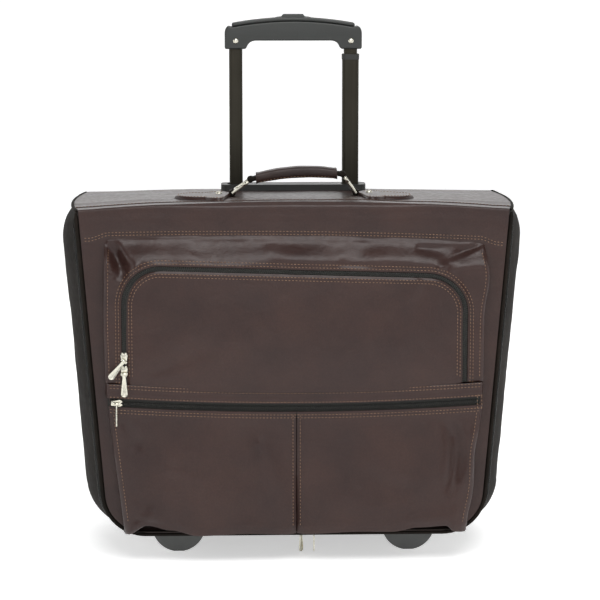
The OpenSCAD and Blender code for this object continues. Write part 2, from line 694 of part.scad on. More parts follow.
module lower_pocket_left() color("#43332f") lower_pocket(-1);
module lower_pocket_right() color("#43332f") lower_pocket(1);

module u_flap() color("#43332f") plate(pocket_y - flap_t, pocket_y - skin)
  u_shape(-zip_w / 2 - 0.35, flap_z + 1);

// ---------------------------------------------------------------- zip sliders
// Slider on a face that looks towards -Y, with its pin along X at height pin_z
module slider(w, h, pin_z, rise, turn) {
  color("#c8c8b4") {
    translate([-w / 2, -slider_t, -h / 2]) cube([w, slider_t - skin, h]);
    translate([0, -slider_t, pin_z]) rotate([0, turn, 0]) {
      for (s = [-1, 1]) translate([s * 3.5, -(rise + 1.3) / 2, 0])
        cube([1.4, rise + 1.5, 3.6], center = true);
      translate([0, -rise, 0]) rotate([0, 90, 0]) cylinder(r = pin_r, h = 7, center = true);
    }
  }
}

// Pull that hangs from the pin at the origin; turn 0 shows its face, 90 its edge
module pull(l, turn) {
  color("#c8c8b4") difference() {
    union() {
      rotate([0, 90, 0]) cylinder(r = pin_r + 1, h = 5.2, center = true);
      rotate([0, 0, turn]) plate(-pull_t / 2, pull_t / 2) {
        polygon([[-1.9, -0.8], [1.9, -0.8], [2.4, -8], [pull_w / 2, -l + pull_w / 2],
          [-pull_w / 2, -l + pull_w / 2], [-2.4, -8]]);
        translate([0, -l + pull_w / 2]) circle(pull_w / 2);
      }
    }
    rotate([0, 90, 0]) cylinder(r = pin_r + pin_fit, h = 8, center = true);
  }
}

slider_y = pocket_y - tape_t;
slider_step = slider_l + 2;   // two sliders that stand together are this far apart
u_lower_z = flap_z + slider_l / 2 + 9;
u_upper_z = u_lower_z + slider_step;
low_x = slider_l - pocket_half;
main_xs = [8.5, 8.5 + slider_step];
main_pin_z = bottom_z - slider_t - pin_rise;
main_pull_l = main_pin_z - pull_clear;
pin_drop = -3;

module u_slider_upper() translate([-u_half, slider_y, u_upper_z])
  slider(slider_w, slider_l, pin_drop, pin_rise, pull_lean);
module u_slider_lower() translate([-u_half, slider_y, u_lower_z])
  slider(slider_w, slider_l, pin_drop, pin_rise, 0);
module low_slider() translate([low_x, slider_y, low_zip_z]) slider(slider_l, slider_w, 0, low_pin_rise, 0);
module main_slider(i) translate([main_xs[i], main_zip_y, bottom_z]) rotate([90, 0, 0])
  slider(slider_l, slider_w, 0, pin_rise, 0);
module main_slider_left() main_slider(0);
module main_slider_right() main_slider(1);

module u_pull_upper() translate([-u_half, slider_y - slider_t - pin_rise, u_upper_z + pin_drop])
  rotate([0, pull_lean, 0]) pull(pull_l, 0);
module u_pull_lower() translate([-u_half, slider_y - slider_t - pin_rise, u_lower_z + pin_drop])
  pull(pull_l, 0);
module low_pull() translate([low_x, slider_y - slider_t - low_pin_rise, low_zip_z]) pull(pull_l, 90);
module main_pull_left() translate([main_xs[0], main_zip_y, main_pin_z]) pull(main_pull_l, 50);
module main_pull_right() translate([main_xs[1], main_zip_y, main_pin_z]) pull(main_pull_l, 90);

back_panel();
stiffener_boards();
left_gusset();
right_gusset();
bottom_gusset();
top_panel();
handle_plate();
main_zip_rear();
trolley_cover();
laptop_sleeve();
outer_tubes();
trolley_bezel();
tube_base();
runner_left();
runner_right();
runner_screws();
axles();
tab_left();
tab_right();
tab_rivets();
front_board();
front_rim();
front_piping();
main_zip_front();
upper_band();
flap_surround();
u_zip();
hinge_strip();
low_zip();
lower_pocket_left();
lower_pocket_right();
u_flap();
u_slider_upper();
u_pull_upper();
u_slider_lower();
u_pull_lower();
low_slider();
low_pull();
main_slider_left();
main_pull_left();
main_slider_right();
main_pull_right();
mid_tube_left();
mid_tube_right();
inner_tubes();
grip_body();
grip_cap();
grip_rivets();
release_button();
button_spring();
handle_sleeve();
handle_core();
ring_left();
ring_right();
wheel_hub_left();
wheel_tyre_left();
wheel_hub_right();
wheel_tyre_right();
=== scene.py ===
import json
import math

import bmesh
import bpy
from mathutils import Matrix, Vector, noise


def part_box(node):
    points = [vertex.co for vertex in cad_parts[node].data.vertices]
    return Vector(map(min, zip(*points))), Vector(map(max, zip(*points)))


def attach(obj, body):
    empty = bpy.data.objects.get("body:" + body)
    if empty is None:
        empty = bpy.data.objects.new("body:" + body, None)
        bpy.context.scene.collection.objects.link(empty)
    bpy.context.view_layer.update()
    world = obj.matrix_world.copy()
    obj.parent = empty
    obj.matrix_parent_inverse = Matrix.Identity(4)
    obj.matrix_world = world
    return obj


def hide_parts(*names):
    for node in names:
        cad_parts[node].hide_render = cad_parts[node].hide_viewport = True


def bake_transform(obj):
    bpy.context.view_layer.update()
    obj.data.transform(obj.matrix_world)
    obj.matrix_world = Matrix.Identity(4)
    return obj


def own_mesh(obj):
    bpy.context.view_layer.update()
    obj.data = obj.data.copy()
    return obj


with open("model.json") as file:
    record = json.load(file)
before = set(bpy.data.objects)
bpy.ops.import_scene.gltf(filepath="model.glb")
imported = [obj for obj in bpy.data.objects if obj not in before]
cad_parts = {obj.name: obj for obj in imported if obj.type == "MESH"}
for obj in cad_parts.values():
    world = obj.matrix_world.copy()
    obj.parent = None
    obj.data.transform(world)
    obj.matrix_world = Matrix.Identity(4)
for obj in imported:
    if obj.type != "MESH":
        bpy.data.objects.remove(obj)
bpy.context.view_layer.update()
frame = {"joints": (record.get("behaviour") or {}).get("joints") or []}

# ------------------------------------------------------------------ front board
# The front of the case is a fibre board wrapped in smooth cow leather, which is glued down all
# round. It is the door of the case and carries the pockets. Its inner face is woven lining.


def span(node):
    """Lowest and highest corner of a CAD node, in millimetres."""
    low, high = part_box(node)
    return low * 1000, high * 1000


front_low, front_high = span("front_board")
face_y = front_low.y
case_bottom = front_low.z
half_top = front_high.x
front_arch = 10
case_top = front_high.z - front_arch
side_taper = 32
corner_r = 50
leather_t = 3.0

lean = math.atan(side_taper / (case_top - case_bottom))
corner_z = case_bottom + corner_r


def half_at(z):
    """Half width of the front's straight sides at height z."""
    return half_top - side_taper * (case_top - z) / (case_top - case_bottom)


corner_x = half_at(corner_z) - corner_r / math.cos(lean)


def edge_half(z):
    """Half width of the front at height z, with its round bottom corners."""
    if z > corner_z - corner_r * math.sin(lean):
        return half_at(z)
    return corner_x + math.sqrt(max(0.0, corner_r**2 - (corner_z - z) ** 2))


def crest(x):
    """Height of the front's top edge at x."""
    return case_top + front_arch * (1 - (x / half_top) ** 2)


def ease(t):
    t = min(max(t, 0.0), 1.0)
    return t * t * (3 - 2 * t)


def ripple(x, z, size, seed):
    """Soft unevenness of hand-stretched leather, from -1 to 1, with waves about size long."""
    return noise.noise(Vector((x / size, z / size, seed)))


def crease(x, z, start, end, width, depth):
    """A fold from start to end that widens on its way, as an extra depth at (x, z)."""
    dx, dz = end[0] - start[0], end[1] - start[1]
    t = ((x - start[0]) * dx + (z - start[1]) * dz) / (dx * dx + dz * dz)
    t = min(max(t, 0.0), 1.0)
    gap = math.hypot(x - start[0] - t * dx, z - start[1] - t * dz)
    return depth * math.exp(-((gap / (width * (0.5 + t))) ** 2))


def linear(hex_colour):
    """A colour written as sRGB hex, as linear red, green, blue and alpha."""
    parts = [int(hex_colour[i : i + 2], 16) / 255 for i in (1, 3, 5)]
    return [p / 12.92 if p < 0.04045 else ((p + 0.055) / 1.055) ** 2.4 for p in parts] + [1.0]


def add(tree, kind, inputs=None, **settings):
    """Adds a node with its settings; inputs gives each socket a value or the socket that feeds it."""
    made = tree.nodes.new("ShaderNode" + kind)
    for key, value in settings.items():
        setattr(made, key, value)
    for key, value in (inputs or {}).items():
        if isinstance(value, bpy.types.NodeSocket):
            tree.links.new(value, made.inputs[key])
        else:
            made.inputs[key].default_value = value
    return made


def start(name, **shader):
    """A new material with one shader. Gives the material, its tree, the shader and a place socket."""
    made = bpy.data.materials.new(name)
    made.use_nodes = True
    tree = made.node_tree
    tree.nodes.clear()
    bsdf = add(tree, "BsdfPrincipled", {k.replace("_", " "): v for k, v in shader.items()})
    add(tree, "OutputMaterial", {"Surface": bsdf.outputs[0]})
    place = add(tree, "TexCoord").outputs["Object"]
    return made, tree, bsdf, place


def per_mm(size):
    """Texture scale on Object coordinates, in metres, that gives features of this size in mm."""
    return 1000 / size


def leather(name, deep, worn, shine=0.40, grain_mm=2.6, grain=0.00016, gloss=0.40):
    """Smooth aniline cow leather with a light wax: soft sheen, cloudy dye, pebble grain.

    The real grain is about 0.8 mm; it is drawn at 2.6 mm so that it still shows in the render."""
    made, tree, bsdf, place = start(name, IOR=1.45, Specular_IOR_Level=gloss, Coat_Weight=0.04,
                                    Coat_Roughness=0.3)
    cloud = add(tree, "TexNoise", {"Vector": place, "Scale": per_mm(70), "Detail": 4.0, "Roughness": 0.6})
    pores = add(tree, "TexNoise", {"Vector": place, "Scale": per_mm(6), "Detail": 3.0, "Roughness": 0.6})
    pebble = add(tree, "TexVoronoi", {"Vector": place, "Scale": per_mm(grain_mm), "Smoothness": 0.35},
                 feature="SMOOTH_F1")
    dye = add(tree, "MapRange", {"Value": cloud.outputs[0], "From Min": 0.34, "From Max": 0.68})
    colour = add(tree, "MixRGB", {"Fac": dye.outputs[0], "Color1": linear(deep), "Color2": linear(worn)})
    valley = add(tree, "MapRange", {"Value": pebble.outputs["Distance"], "From Min": 0.15, "From Max": 0.7,
                                    "To Min": 1.0, "To Max": 0.86})
    shaded = add(tree, "MixRGB", {"Fac": 1.0, "Color1": colour.outputs[0], "Color2": valley.outputs[0]},
                 blend_type="MULTIPLY")
    tree.links.new(shaded.outputs[0], bsdf.inputs["Base Color"])
    wax = add(tree, "MapRange", {"Value": pores.outputs[0], "From Min": 0.3, "From Max": 0.7,
                                 "To Min": shine - 0.05, "To Max": shine + 0.09})
    tree.links.new(wax.outputs[0], bsdf.inputs["Roughness"])
    bend = add(tree, "TexNoise", {"Vector": place, "Scale": per_mm(24), "Detail": 2.0, "Distortion": 0.8})
    soft = add(tree, "Bump", {"Height": bend.outputs[0], "Strength": 0.5, "Distance": 0.0016})
    fine = add(tree, "Bump", {"Height": pebble.outputs["Distance"], "Strength": 0.5, "Distance": grain,
                              "Normal": soft.outputs[0]}, invert=True)
    tree.links.new(fine.outputs[0], bsdf.inputs["Normal"])
    return made


def woven(name, warp, weft, thread_mm, rough=0.8, bump=0.0003):
    """Plain-woven polyester: over-and-under threads in two tones, matt with a little thread sheen.

    The real threads are about 0.3 mm; thread_mm is what still shows in the render."""
    made, tree, bsdf, place = start(name, Roughness=rough, Sheen_Weight=0.25, Sheen_Roughness=0.4)
    waves = []
    for turn in ((0, 0, 45), (0, 60, -45)):
        tilted = add(tree, "Mapping", {"Vector": place, "Rotation": [math.radians(t) for t in turn]})
        waves.append(add(tree, "TexWave", {"Vector": tilted.outputs[0], "Scale": per_mm(thread_mm) * 0.314,
                                           "Distortion": 0.4, "Detail": 1.0}, bands_direction="X"))
    cross = add(tree, "MixRGB", {"Fac": 0.5, "Color1": waves[0].outputs[0], "Color2": waves[1].outputs[0]},
                blend_type="MULTIPLY")
    colour = add(tree, "MixRGB", {"Fac": cross.outputs[0], "Color1": linear(weft), "Color2": linear(warp)})
    tree.links.new(colour.outputs[0], bsdf.inputs["Base Color"])
    raised = add(tree, "Bump", {"Height": cross.outputs[0], "Strength": 0.6, "Distance": bump})
    tree.links.new(raised.outputs[0], bsdf.inputs["Normal"])
    return made


brown = leather("cow_leather_brown", "#2e1d1a", "#38241f", shine=0.34, gloss=0.36)
lining = woven("woven_lining_grey", "#5b5f66", "#3d4046", 1.6)


def settle(made, sharp):
    """Applies a piece's modifiers to its mesh and marks the edges that stay sharp."""
    mesh = bpy.data.meshes.new_from_object(made.evaluated_get(bpy.context.evaluated_depsgraph_get()))
    made.modifiers.clear()
    made.data = mesh
    mesh.set_sharp_from_angle(angle=math.radians(sharp))
    return mesh


def piece(name, bm, *finishes, wall=0.0, levels=0, sharp=50, lined=False):
    """Turns a bmesh in metres into an object: walls are added inwards, then it is smoothed and settled."""
    mesh = bpy.data.meshes.new(name)
    bm.to_mesh(mesh)
    bm.free()
    for finish in finishes:
        mesh.materials.append(finish)
    mesh.shade_smooth()
    made = bpy.data.objects.new(name, mesh)
    bpy.context.scene.collection.objects.link(made)
    if wall:
        thick = made.modifiers.new("wall", "SOLIDIFY")
        thick.thickness = wall / 1000
        thick.offset = -1
        thick.material_offset = 1 if lined else 0
    if levels:
        round_off = made.modifiers.new("round", "SUBSURF")
        round_off.levels = round_off.render_levels = levels
    settle(made, sharp).name = name
    return made


def grid(across, along, place, out=None):
    """A bmesh grid laid by place(u, v) in millimetres. A sheet faces out; a closed tube gives no out."""
    bm = bmesh.new()
    bmesh.ops.create_grid(bm, x_segments=across, y_segments=along, size=0.5)
    for v in bm.verts:
        v.co = Vector(place(v.co.x + 0.5, v.co.y + 0.5)) / 1000
    if out is None:
        bmesh.ops.remove_doubles(bm, verts=bm.verts, dist=1e-6)
        bmesh.ops.holes_fill(bm, edges=bm.edges, sides=0)
        bmesh.ops.recalc_face_normals(bm, faces=bm.faces)
        return bm
    bm.normal_update()
    facing = sum((f.normal * f.calc_area() for f in bm.faces), Vector())
    if facing.dot(Vector(out)) < 0:
        bmesh.ops.reverse_faces(bm, faces=bm.faces)
    return bm


def belongs(made, body, slot, *nodes):
    """Says which body a piece rides on and the CAD nodes that it stands for; the slot argument is not used.
    """
    if body:
        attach(made, body)
    if nodes:
        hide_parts(*nodes)
    return made


row_crowding = 1.25


def lay_front(u, v):
    """Rows lie closer together near the foot, where the corners are round."""
    x = (2 * u - 1) * (edge_half(case_bottom + v**row_crowding * (case_top - case_bottom)) - 0.2)
    z = case_bottom + v**row_crowding * (crest(x) - case_bottom)
    return x, face_y - 0.5 - 0.5 * ripple(x, z, 45, 3.1), z


front = piece("front_leather", grid(72, 60, lay_front, out=(0, -1, 0)), brown, lining,
              wall=leather_t, lined=True)
belongs(front, "front_panel", "leather", "front_board")

# ------------------------------------------------------------------ rim, gussets and zip tapes
# Between the front and the back runs a gusset of thin dark leather, which swells outwards like a
# filled bag. The front carries a narrow strip of it as its rim, and a nylon zip joins the two.

rim_high = span("front_rim")[1]
case_high = span("back_panel")[1]
back_y = case_high.y
mid_y = (face_y + back_y) / 2
side_bulge = 28
shoulder_h = 42
shoulder_z = case_top - shoulder_h
gusset_top = case_top - 3
side_end = corner_z - corner_r * math.sin(lean)
side_run = (gusset_top - side_end) / math.cos(lean)
corner_turn = math.pi / 2 - lean
corner_run = corner_r * corner_turn
half_run = side_run + corner_run + corner_x


def along_edge(s):
    """Point of the outline s millimetres down from its top right end: x, z, outward x, z, swelling."""
    if s > half_run:
        x, z, nx, nz, swelling = along_edge(2 * half_run - s)
        return -x, z, -nx, nz, swelling
    if s < side_run:
        z = gusset_top - s * math.cos(lean)
        over = max(0.0, (z - shoulder_z) / shoulder_h)
        return half_at(z), z, math.cos(lean), -math.sin(lean), side_bulge * math.sqrt(1 - over**2)
    if s < side_run + corner_run:
        share = (s - side_run) / corner_run
        turn = -lean - corner_turn * share
        nx, nz = math.cos(turn), math.sin(turn)
        return (corner_x + corner_r * nx, corner_z + corner_r * nz, nx, nz,
                side_bulge * ease(1 - share) ** 0.6)
    return corner_x - (s - side_run - corner_run), case_bottom, 0.0, -1.0, 0.0


def swell(y):
    return 1 - ((y - mid_y) / (back_y - mid_y)) ** 2


def skin(s, y, lift=0.0, wrinkle=0.0):
    """Point on the gusset's outer side, s along the outline at depth y."""
    x, z, nx, nz, swelling = along_edge(s)
    uneven = wrinkle * (ripple(s, y, 55, 7.7) + 0.5 * ripple(s, 2 * y, 26, 1.9)) * min(1, swelling / 8)
    proud = swelling * swell(y) + lift + uneven * swell(y)
    return x + nx * proud, y, z + nz * proud


dark = leather("cow_leather_black_brown", "#191613", "#241f1b", shine=0.68, gloss=0.03)


def strip_round(name, s0, s1, y0, y1, across, along, wall, finish, out, lift=0.0, wrinkle=0.0):
    """A strip of gusset between two points of the outline and two depths."""
    def lay(u, v):
        return skin(s0 + (s1 - s0) * u, y0 + (y1 - y0) * v, lift, wrinkle)
    made = grid(across, along, lay, out=out)
    return piece(name, made, finish, lining, wall=wall, lined=True) if name else made


gusset_y = span("bottom_gusset")[0].y
for name, side, first in (("right", 1, 0), ("left", -1, 2 * half_run - side_run)):
    gusset = strip_round(f"gusset_{name}", first, first + side_run, gusset_y, back_y, 60, 24, leather_t,
                         dark, (side, 0, 0), wrinkle=1.6)
    belongs(gusset, "case", "leather_dark", f"{name}_gusset")


def cut_wells(bm, side, turn):
    """Takes the wheel wells out of a sheet. side is their depth or height limit, turn 'y' or 'z'."""
    for runner in ("runner_left", "runner_right"):
        low, high = span(runner)
        mid = (low.x + high.x) / 2
        walls = [(Vector((mid + sign * well_half, 0, 0)), Vector((1, 0, 0))) for sign in (-1, 1)]
        walls.append((Vector((0, side, 0)), Vector((0, 1, 0))) if turn == "y"
                     else (Vector((0, 0, side)), Vector((0, 0, 1))))
        for point, normal in walls:
            geometry = bm.verts[:] + bm.edges[:] + bm.faces[:]
            # Both wells share the last cut, so points already on a plane are left alone.
            bmesh.ops.bisect_plane(bm, geom=geometry, dist=0.00001, plane_co=point / 1000,
                                   plane_no=normal)
        gone = [f for f in bm.faces
                if abs(f.calc_center_median().x * 1000 - mid) < well_half
                and (f.calc_center_median().y * 1000 > side if turn == "y"
                     else f.calc_center_median().z * 1000 < side)]
        bmesh.ops.delete(bm, geom=gone, context="FACES")


wheel_low, wheel_high = span("wheel_tyre_right")
wheel_r = (wheel_high.z - wheel_low.z) / 2
well_half = (wheel_high.x - wheel_low.x) / 2 + 6
well_front = (wheel_high.y + wheel_low.y) / 2 - wheel_r - 6.3
well_top = 2 * wheel_r + 7
bottom = strip_round("", side_run, 2 * half_run - side_run, gusset_y, back_y, 120, 20, 0, dark, (0, 0, -1))
cut_wells(bottom, well_front, "y")
bottom = piece("gusset_bottom", bottom, dark, lining, wall=leather_t, lined=True)
belongs(bottom, "case", "leather_dark", "bottom_gusset")

rim = strip_round("front_rim_leather", 0, 2 * half_run, face_y + 1, rim_high.y, 300, 4, 2.6, dark,
                  (0, 0, -1))
belongs(rim, "front_panel", "leather_dark", "front_rim")

tape = woven("zip_tape_black", "#24241f", "#131311", 1.4, rough=0.8)


def clouded(tree, bsdf, place, size, deep, pale, detail=2.0):
    """Gives the colour two tones in clouds of this size in mm, and returns the clouds."""
    cloud = add(tree, "TexNoise", {"Vector": place, "Scale": per_mm(size), "Detail": detail}).outputs[0]
    tone = add(tree, "MixRGB", {"Fac": cloud, "Color1": linear(deep), "Color2": linear(pale)})
    tree.links.new(tone.outputs[0], bsdf.inputs["Base Color"])
    return cloud


nylon, *nylon_nodes = start("nylon_coil_black", Roughness=0.32, IOR=1.53)
clouded(*nylon_nodes, 9, "#0f0f0d", "#282823")

zip_end = (gusset_top - (case_top - 22)) / math.cos(lean)
zip_mid_y = (span("main_zip_front")[1].y + span("main_zip_rear")[0].y) / 2


def beads(name, spots, size, finish):
    """One mesh of many small egg shapes. Each spot gives a place, the way it lies and the way out."""
    bm = bmesh.new()
    for place, way, out in spots:
        x = Vector(way).normalized()
        y = Vector(out).cross(x).normalized()
        turn = Matrix((x, y, x.cross(y))).transposed().to_4x4()
        sized = Matrix.Diagonal((size[0] / 2000, size[1] / 2000, size[2] / 2000, 1))
        bmesh.ops.create_icosphere(bm, subdivisions=1, radius=1.0,
                                   matrix=Matrix.Translation(Vector(place) / 1000) @ turn @ sized)
    return piece(name, bm, finish, sharp=180)


main_pitch = 2.2


def main_coil(name, side):
    """Half of the main zip's coil: one loop at each pitch, reaching over the middle of the zip."""
    spots = []
    count = int((2 * half_run - 2 * zip_end) / main_pitch)
    for i in range(count):
        s = zip_end + (i + 0.25 * side) * main_pitch
        x, y, z = skin(s, zip_mid_y + side * 0.9, lift=0.2)
        out = along_edge(s)
        spots.append(((x, y, z), (0, 1, 0), (out[2], 0, out[3])))
    return beads(name, spots, (3.4, 1.3, 1.6), nylon)


for name, body, side, node in (("front", "front_panel", -1, "main_zip_front"),
                               ("rear", "case", 1, "main_zip_rear")):
    low, high = span(node)
    half = strip_round(f"main_zip_tape_{name}", zip_end, 2 * half_run - zip_end, low.y, high.y, 260, 2,
                       1.2, tape, (0, 0, -1), lift=-0.6)
    belongs(half, body, "zip_tape", node)
    belongs(main_coil(f"main_zip_coil_{name}", side), body, "zip_tape")


# Above the ends of the zip a patch of leather closes the gap down to the front's rim.
for name, first in (("right", 0.0), ("left", 2 * half_run - zip_end - 4)):
    patch = strip_round(f"main_zip_end_{name}", first, first + zip_end + 4, rim_high.y + 0.2, gusset_y + 1,
                        12, 4, 1.6, dark, (1 if name == "right" else -1, 0, 0), lift=-0.3)
    belongs(patch, "case", "leather_dark")


def tube(name, path, radius, around, finish, ends=1.0):
    """A round cord along path, a list of points in millimetres, with its ends drawn in."""
    points = [Vector(p) for p in path]
    last = len(points) - 1
    ways = [(points[min(i + 1, last)] - points[max(i - 1, 0)]).normalized() for i in range(last + 1)]
    side = ways[0].orthogonal().normalized()
    sides = []
    for way in ways:
        side = (side - way * side.dot(way)).normalized()
        sides.append(side)

    def lay(u, v):
        i = round(u * last)
        r = radius * (ends if i in (0, last) else 1.0)
        turn = 2 * math.pi * v
        return points[i] + r * (math.cos(turn) * sides[i] + math.sin(turn) * ways[i].cross(sides[i]))
    return piece(name, grid(last, around, lay), finish, sharp=60)


piping_r = 2.4
rounds = 220
for name, y, body, nodes in (("front_piping_cord", face_y + 1, "front_panel", ["front_piping"]),
                             ("rear_piping_cord", back_y - 1, "case", [])):
    line = [skin(2 * half_run * i / rounds, y, lift=piping_r) for i in range(rounds + 1)]
    belongs(tube(name, line, piping_r, 10, dark, ends=0.6), body, "leather_dark", *nodes)

# ------------------------------------------------------------------ back panel and top panel
# The back is one piece of leather glued to its board. The top is a separate piece with a soft fold
# behind the handle, sewn to the gussets over a piped edge.

back_arch = case_high.z - case_top + 3


def lay_back(u, v):
    x = (2 * u - 1) * (edge_half(case_bottom + v**row_crowding * (case_top - case_bottom)) - 3)
    tall = case_top - 6 - case_bottom + back_arch * (1 - (x / half_top) ** 2)
    z = case_bottom + 3 + v**row_crowding * tall
    full = (1 - (2 * u - 1) ** 6) * math.sin(math.pi * v) ** 0.6
    return x, back_y + 2.2 * full + 0.8 * ripple(x, z, 60, 9.4), z


back = grid(80, 64, lay_back, out=(0, 1, 0))
cut_wells(back, well_top, "z")
back = piece("back_leather", back, brown, lining, wall=leather_t, lined=True)
belongs(back, "case", "leather_top", "back_panel")

seam_y = face_y + 28
top_spread = side_bulge * math.sqrt(1 - ((gusset_top - shoulder_z) / shoulder_h) ** 2)


def rise(y):
    return front_arch + (3 - front_arch) * (y - face_y) / (back_y - face_y)


def top_half(y):
    return half_top + top_spread * swell(y)


def top_at(x, y):
    """Height of the top leather, with a long soft fold that runs in from each front corner."""
    fold = 1.6 * math.exp(-(((y - seam_y - 34) / 9) ** 2)) * ease((abs(x) - 120) / 60)
    sag = 1.2 * ripple(x, y, 70, 4.4) * ease((top_half(y) - abs(x)) / 30)
    return case_top + rise(y) * (1 - (x / top_half(y)) ** 2) + fold + sag


def lay_top(u, v):
    y = seam_y - 3 + (back_y - seam_y + 2) * v
    x = (2 * u - 1) * (top_half(y) - 0.5)
    return x, y, top_at(x, y) + 0.9 * (1 - ease((y - seam_y + 3) / 5))


top = grid(110, 44, lay_top, out=(0, 0, 1))
bezel_low, bezel_high = span("trolley_bezel")
bezel_mid, bezel_reach = (bezel_low + bezel_high) / 2, (bezel_high - bezel_low) / 2 - Vector((6, 5, 0))
# The trolley comes up through an opening that its bezel covers.
opening = []
for f in top.faces:
    away = f.calc_center_median() * 1000 - bezel_mid
    if abs(away.x) < bezel_reach.x and abs(away.y) < bezel_reach.y:
        opening.append(f)
bmesh.ops.delete(top, geom=opening, context="FACES")
top = piece("top_leather", top, brown, lining, wall=leather_t, lined=True)
belongs(top, "case", "leather_top", "top_panel")

sides = ((-1, "left"), (1, "right"))
for side, name in sides:
    seam = []
    for i in range(41):
        y = face_y + 3 + (back_y - face_y - 4) * i / 40
        seam.append((side * (top_half(y) + 1.2), y, case_top - 1.2 + 0.6 * ripple(0, y, 40, side)))
    belongs(tube(f"top_piping_{name}", seam, 2.2, 10, dark, ends=0.6), "case", "leather_dark")

# ------------------------------------------------------------------ band over the front edge
# One wide band of leather runs from the pocket seam up the front, rolls over the top edge and ends
# in a seam on the top. It is the hinge that the front opens on, but here it is one fixed piece that rides on
# no body and does not bend.

seam_z = span("upper_band")[0].z
band_lift = 2.0


def seam_at(x):
    """Height of the seam under the band, which dips towards the right side."""
    return seam_z + 3 - 0.014 * x - 5 * (x / half_top) ** 2 - 6 * ease((abs(x) - 224) / 22)


joints = {j["name"]: j for j in frame["joints"]}


def edge_round(x):
    """Radius of the roll over the front edge: soft between the tabs, crisp near the corners."""
    return 3.6 + 6.5 * ease((190 - abs(x)) / 110)


def band_out(x, z, high):
    """How far the band stands out where it comes down the front."""
    low = seam_at(x)
    full = 0.8 * math.sin(math.pi * min(1, (high - z) / (high - low))) ** 2
    press = 1.2 * ease((low + 9 - z) / 9)
    settles = ease((high - edge_round(x) - z) / 14)
    return band_lift + (full + 0.7 * ripple(x, z, 48, 2.2) * ease((z - low) / 10)) * settles - press


def lay_band(u, v):
    """v runs from the seam on the top, round the front edge and down to the pocket seam."""
    r = edge_round((2 * u - 1) * half_top)
    flat = face_y - band_lift + r - seam_y
    turn = r * math.pi / 2
    low = seam_at((2 * u - 1) * half_top)
    high = crest((2 * u - 1) * half_top) + 0.8
    down = high - r - low
    s = v * (-flat + turn + down)
    if s < -flat:
        y = seam_y - s
        x = (2 * u - 1) * (top_half(y) - 0.5)
        return x, y, min(top_at(x, y), high + 6) + 0.5 * ease((s - 4) / 10)
    x = (2 * u - 1) * (half_top - 0.8)
    if s < -flat + turn:
        a = (s + flat) / r
        join = top_at(x, face_y + r) + 0.5 - high
        return x, face_y - band_lift + r - r * math.sin(a), high - r + r * math.cos(a) + join * (1 - a / 1.6)
    z = high - r - (s + flat - turn)
    x = (2 * u - 1) * (half_at(z) - 0.8)
    return x, face_y - band_out(x, z, high), z


band = piece("front_band", grid(130, 56, lay_band, out=(0, -1, 1)), brown, wall=1.8)
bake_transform(band)
belongs(band, None, "leather", "upper_band")

# ------------------------------------------------------------------ flap pocket
# The upper pocket stands 20 mm out from the front. Its leather slopes out from the seam under the
# band, is folded round the sides, and has a U-shaped opening with a zip.

pocket_low, pocket_high = span("flap_surround")
zip_low, zip_high = span("u_zip")
pocket_out = face_y - pocket_low.y
pocket_half = pocket_high.x
zip_w = 10
u_half = zip_high.x - zip_w / 2
u_top = zip_high.z - zip_w / 2
u_bottom = zip_low.z
u_r = 45
arm = u_top - u_r - u_bottom
arc = math.pi / 2 * u_r
across_top = 2 * (u_half - u_r)
u_run = 2 * arm + 2 * arc + across_top


def lean_over(x, z):
    """The top of the U has slipped down a little on the right, as the soft pocket hangs."""
    return z - 0.030 * x * ease((z - u_bottom) / (u_top - u_bottom))


def u_even(s, d):
    """Point s millimetres along an even U from its lower left end, d millimetres outside its middle."""
    if s > u_run / 2:
        x, z = u_even(u_run - s, d)
        return -x, z
    if s < arm:
        return -(u_half + d), u_bottom + s
    if s < arm + arc:
        a = (s - arm) / u_r
        return -(u_half - u_r) - (u_r + d) * math.cos(a), u_top - u_r + (u_r + d) * math.sin(a)
    return -(u_half - u_r) + s - arm - arc, u_top + d


def u_point(s, d):
    """The same point on the pocket, where the right side of the U has slipped down."""
    x, z = u_even(s, d)
    return x, lean_over(x, z)


def pocket_side(x, z):
    """Half width of the pocket at height z; its right side bellies out below the corner."""
    belly = 6.5 * math.exp(-(((z - 352) / 30) ** 2)) if x > 0 else 1.5 * math.exp(-(((z - 300) / 50) ** 2))
    return pocket_half - 0.5 + belly


def surround_out(x, z):
    """How far the pocket's leather stands out from the front at (x, z)."""
    top = seam_at(x)
    out = 2.6 + (pocket_out - 2.0) * ease((top - z) / (30 + 6 * ripple(x, 0, 90, 5.5)))
    out += 1.5 * ripple(x, z, 52, 0.7) + 0.8 * ripple(x, z, 24, 3.9)
    out += crease(x, z, (-225, top + 2), (-208, 364), 6.4, -16.0)
    out += crease(x, z, (-222, 357), (-190, 366), 3.6, 4.6)
    out += crease(x, z, (232, top), (186, 369), 4.5, -5.5)
    out += crease(x, z, (229, top - 6), (176, 364), 3.4, 4.2)
    out += crease(x, z, (-30, 384), (18, 372), 11.0, 1.3) + crease(x, z, (60, 372), (96, 386), 11.0, -1.2)
    out += crease(x, z, (150, 385), (200, 378), 7.0, -2.6) + crease(x, z, (-120, 384), (-96, 374), 9.0, -1.2)
    return max(1.5, out)


def corner_of(s):
    """Point of the pocket's own outline that lies opposite point s of the U."""
    turn = arm + arc / 2
    if s > u_run - turn:
        z = u_bottom + (u_run - s) / turn * (seam_at(pocket_half) - u_bottom)
        return pocket_side(1, z), z
    if s < turn:
        z = u_bottom + s / turn * (seam_at(-pocket_half) - u_bottom)
        return -pocket_side(-1, z), z
    share = (s - turn) / (u_run - 2 * turn)
    x = -pocket_side(-1, seam_at(-pocket_half)) * (1 - share) + pocket_side(1, seam_at(pocket_half)) * share
    return x, seam_at(x) + 2.0 * math.sin(math.pi * share)


lip = zip_w / 2 - 2.2


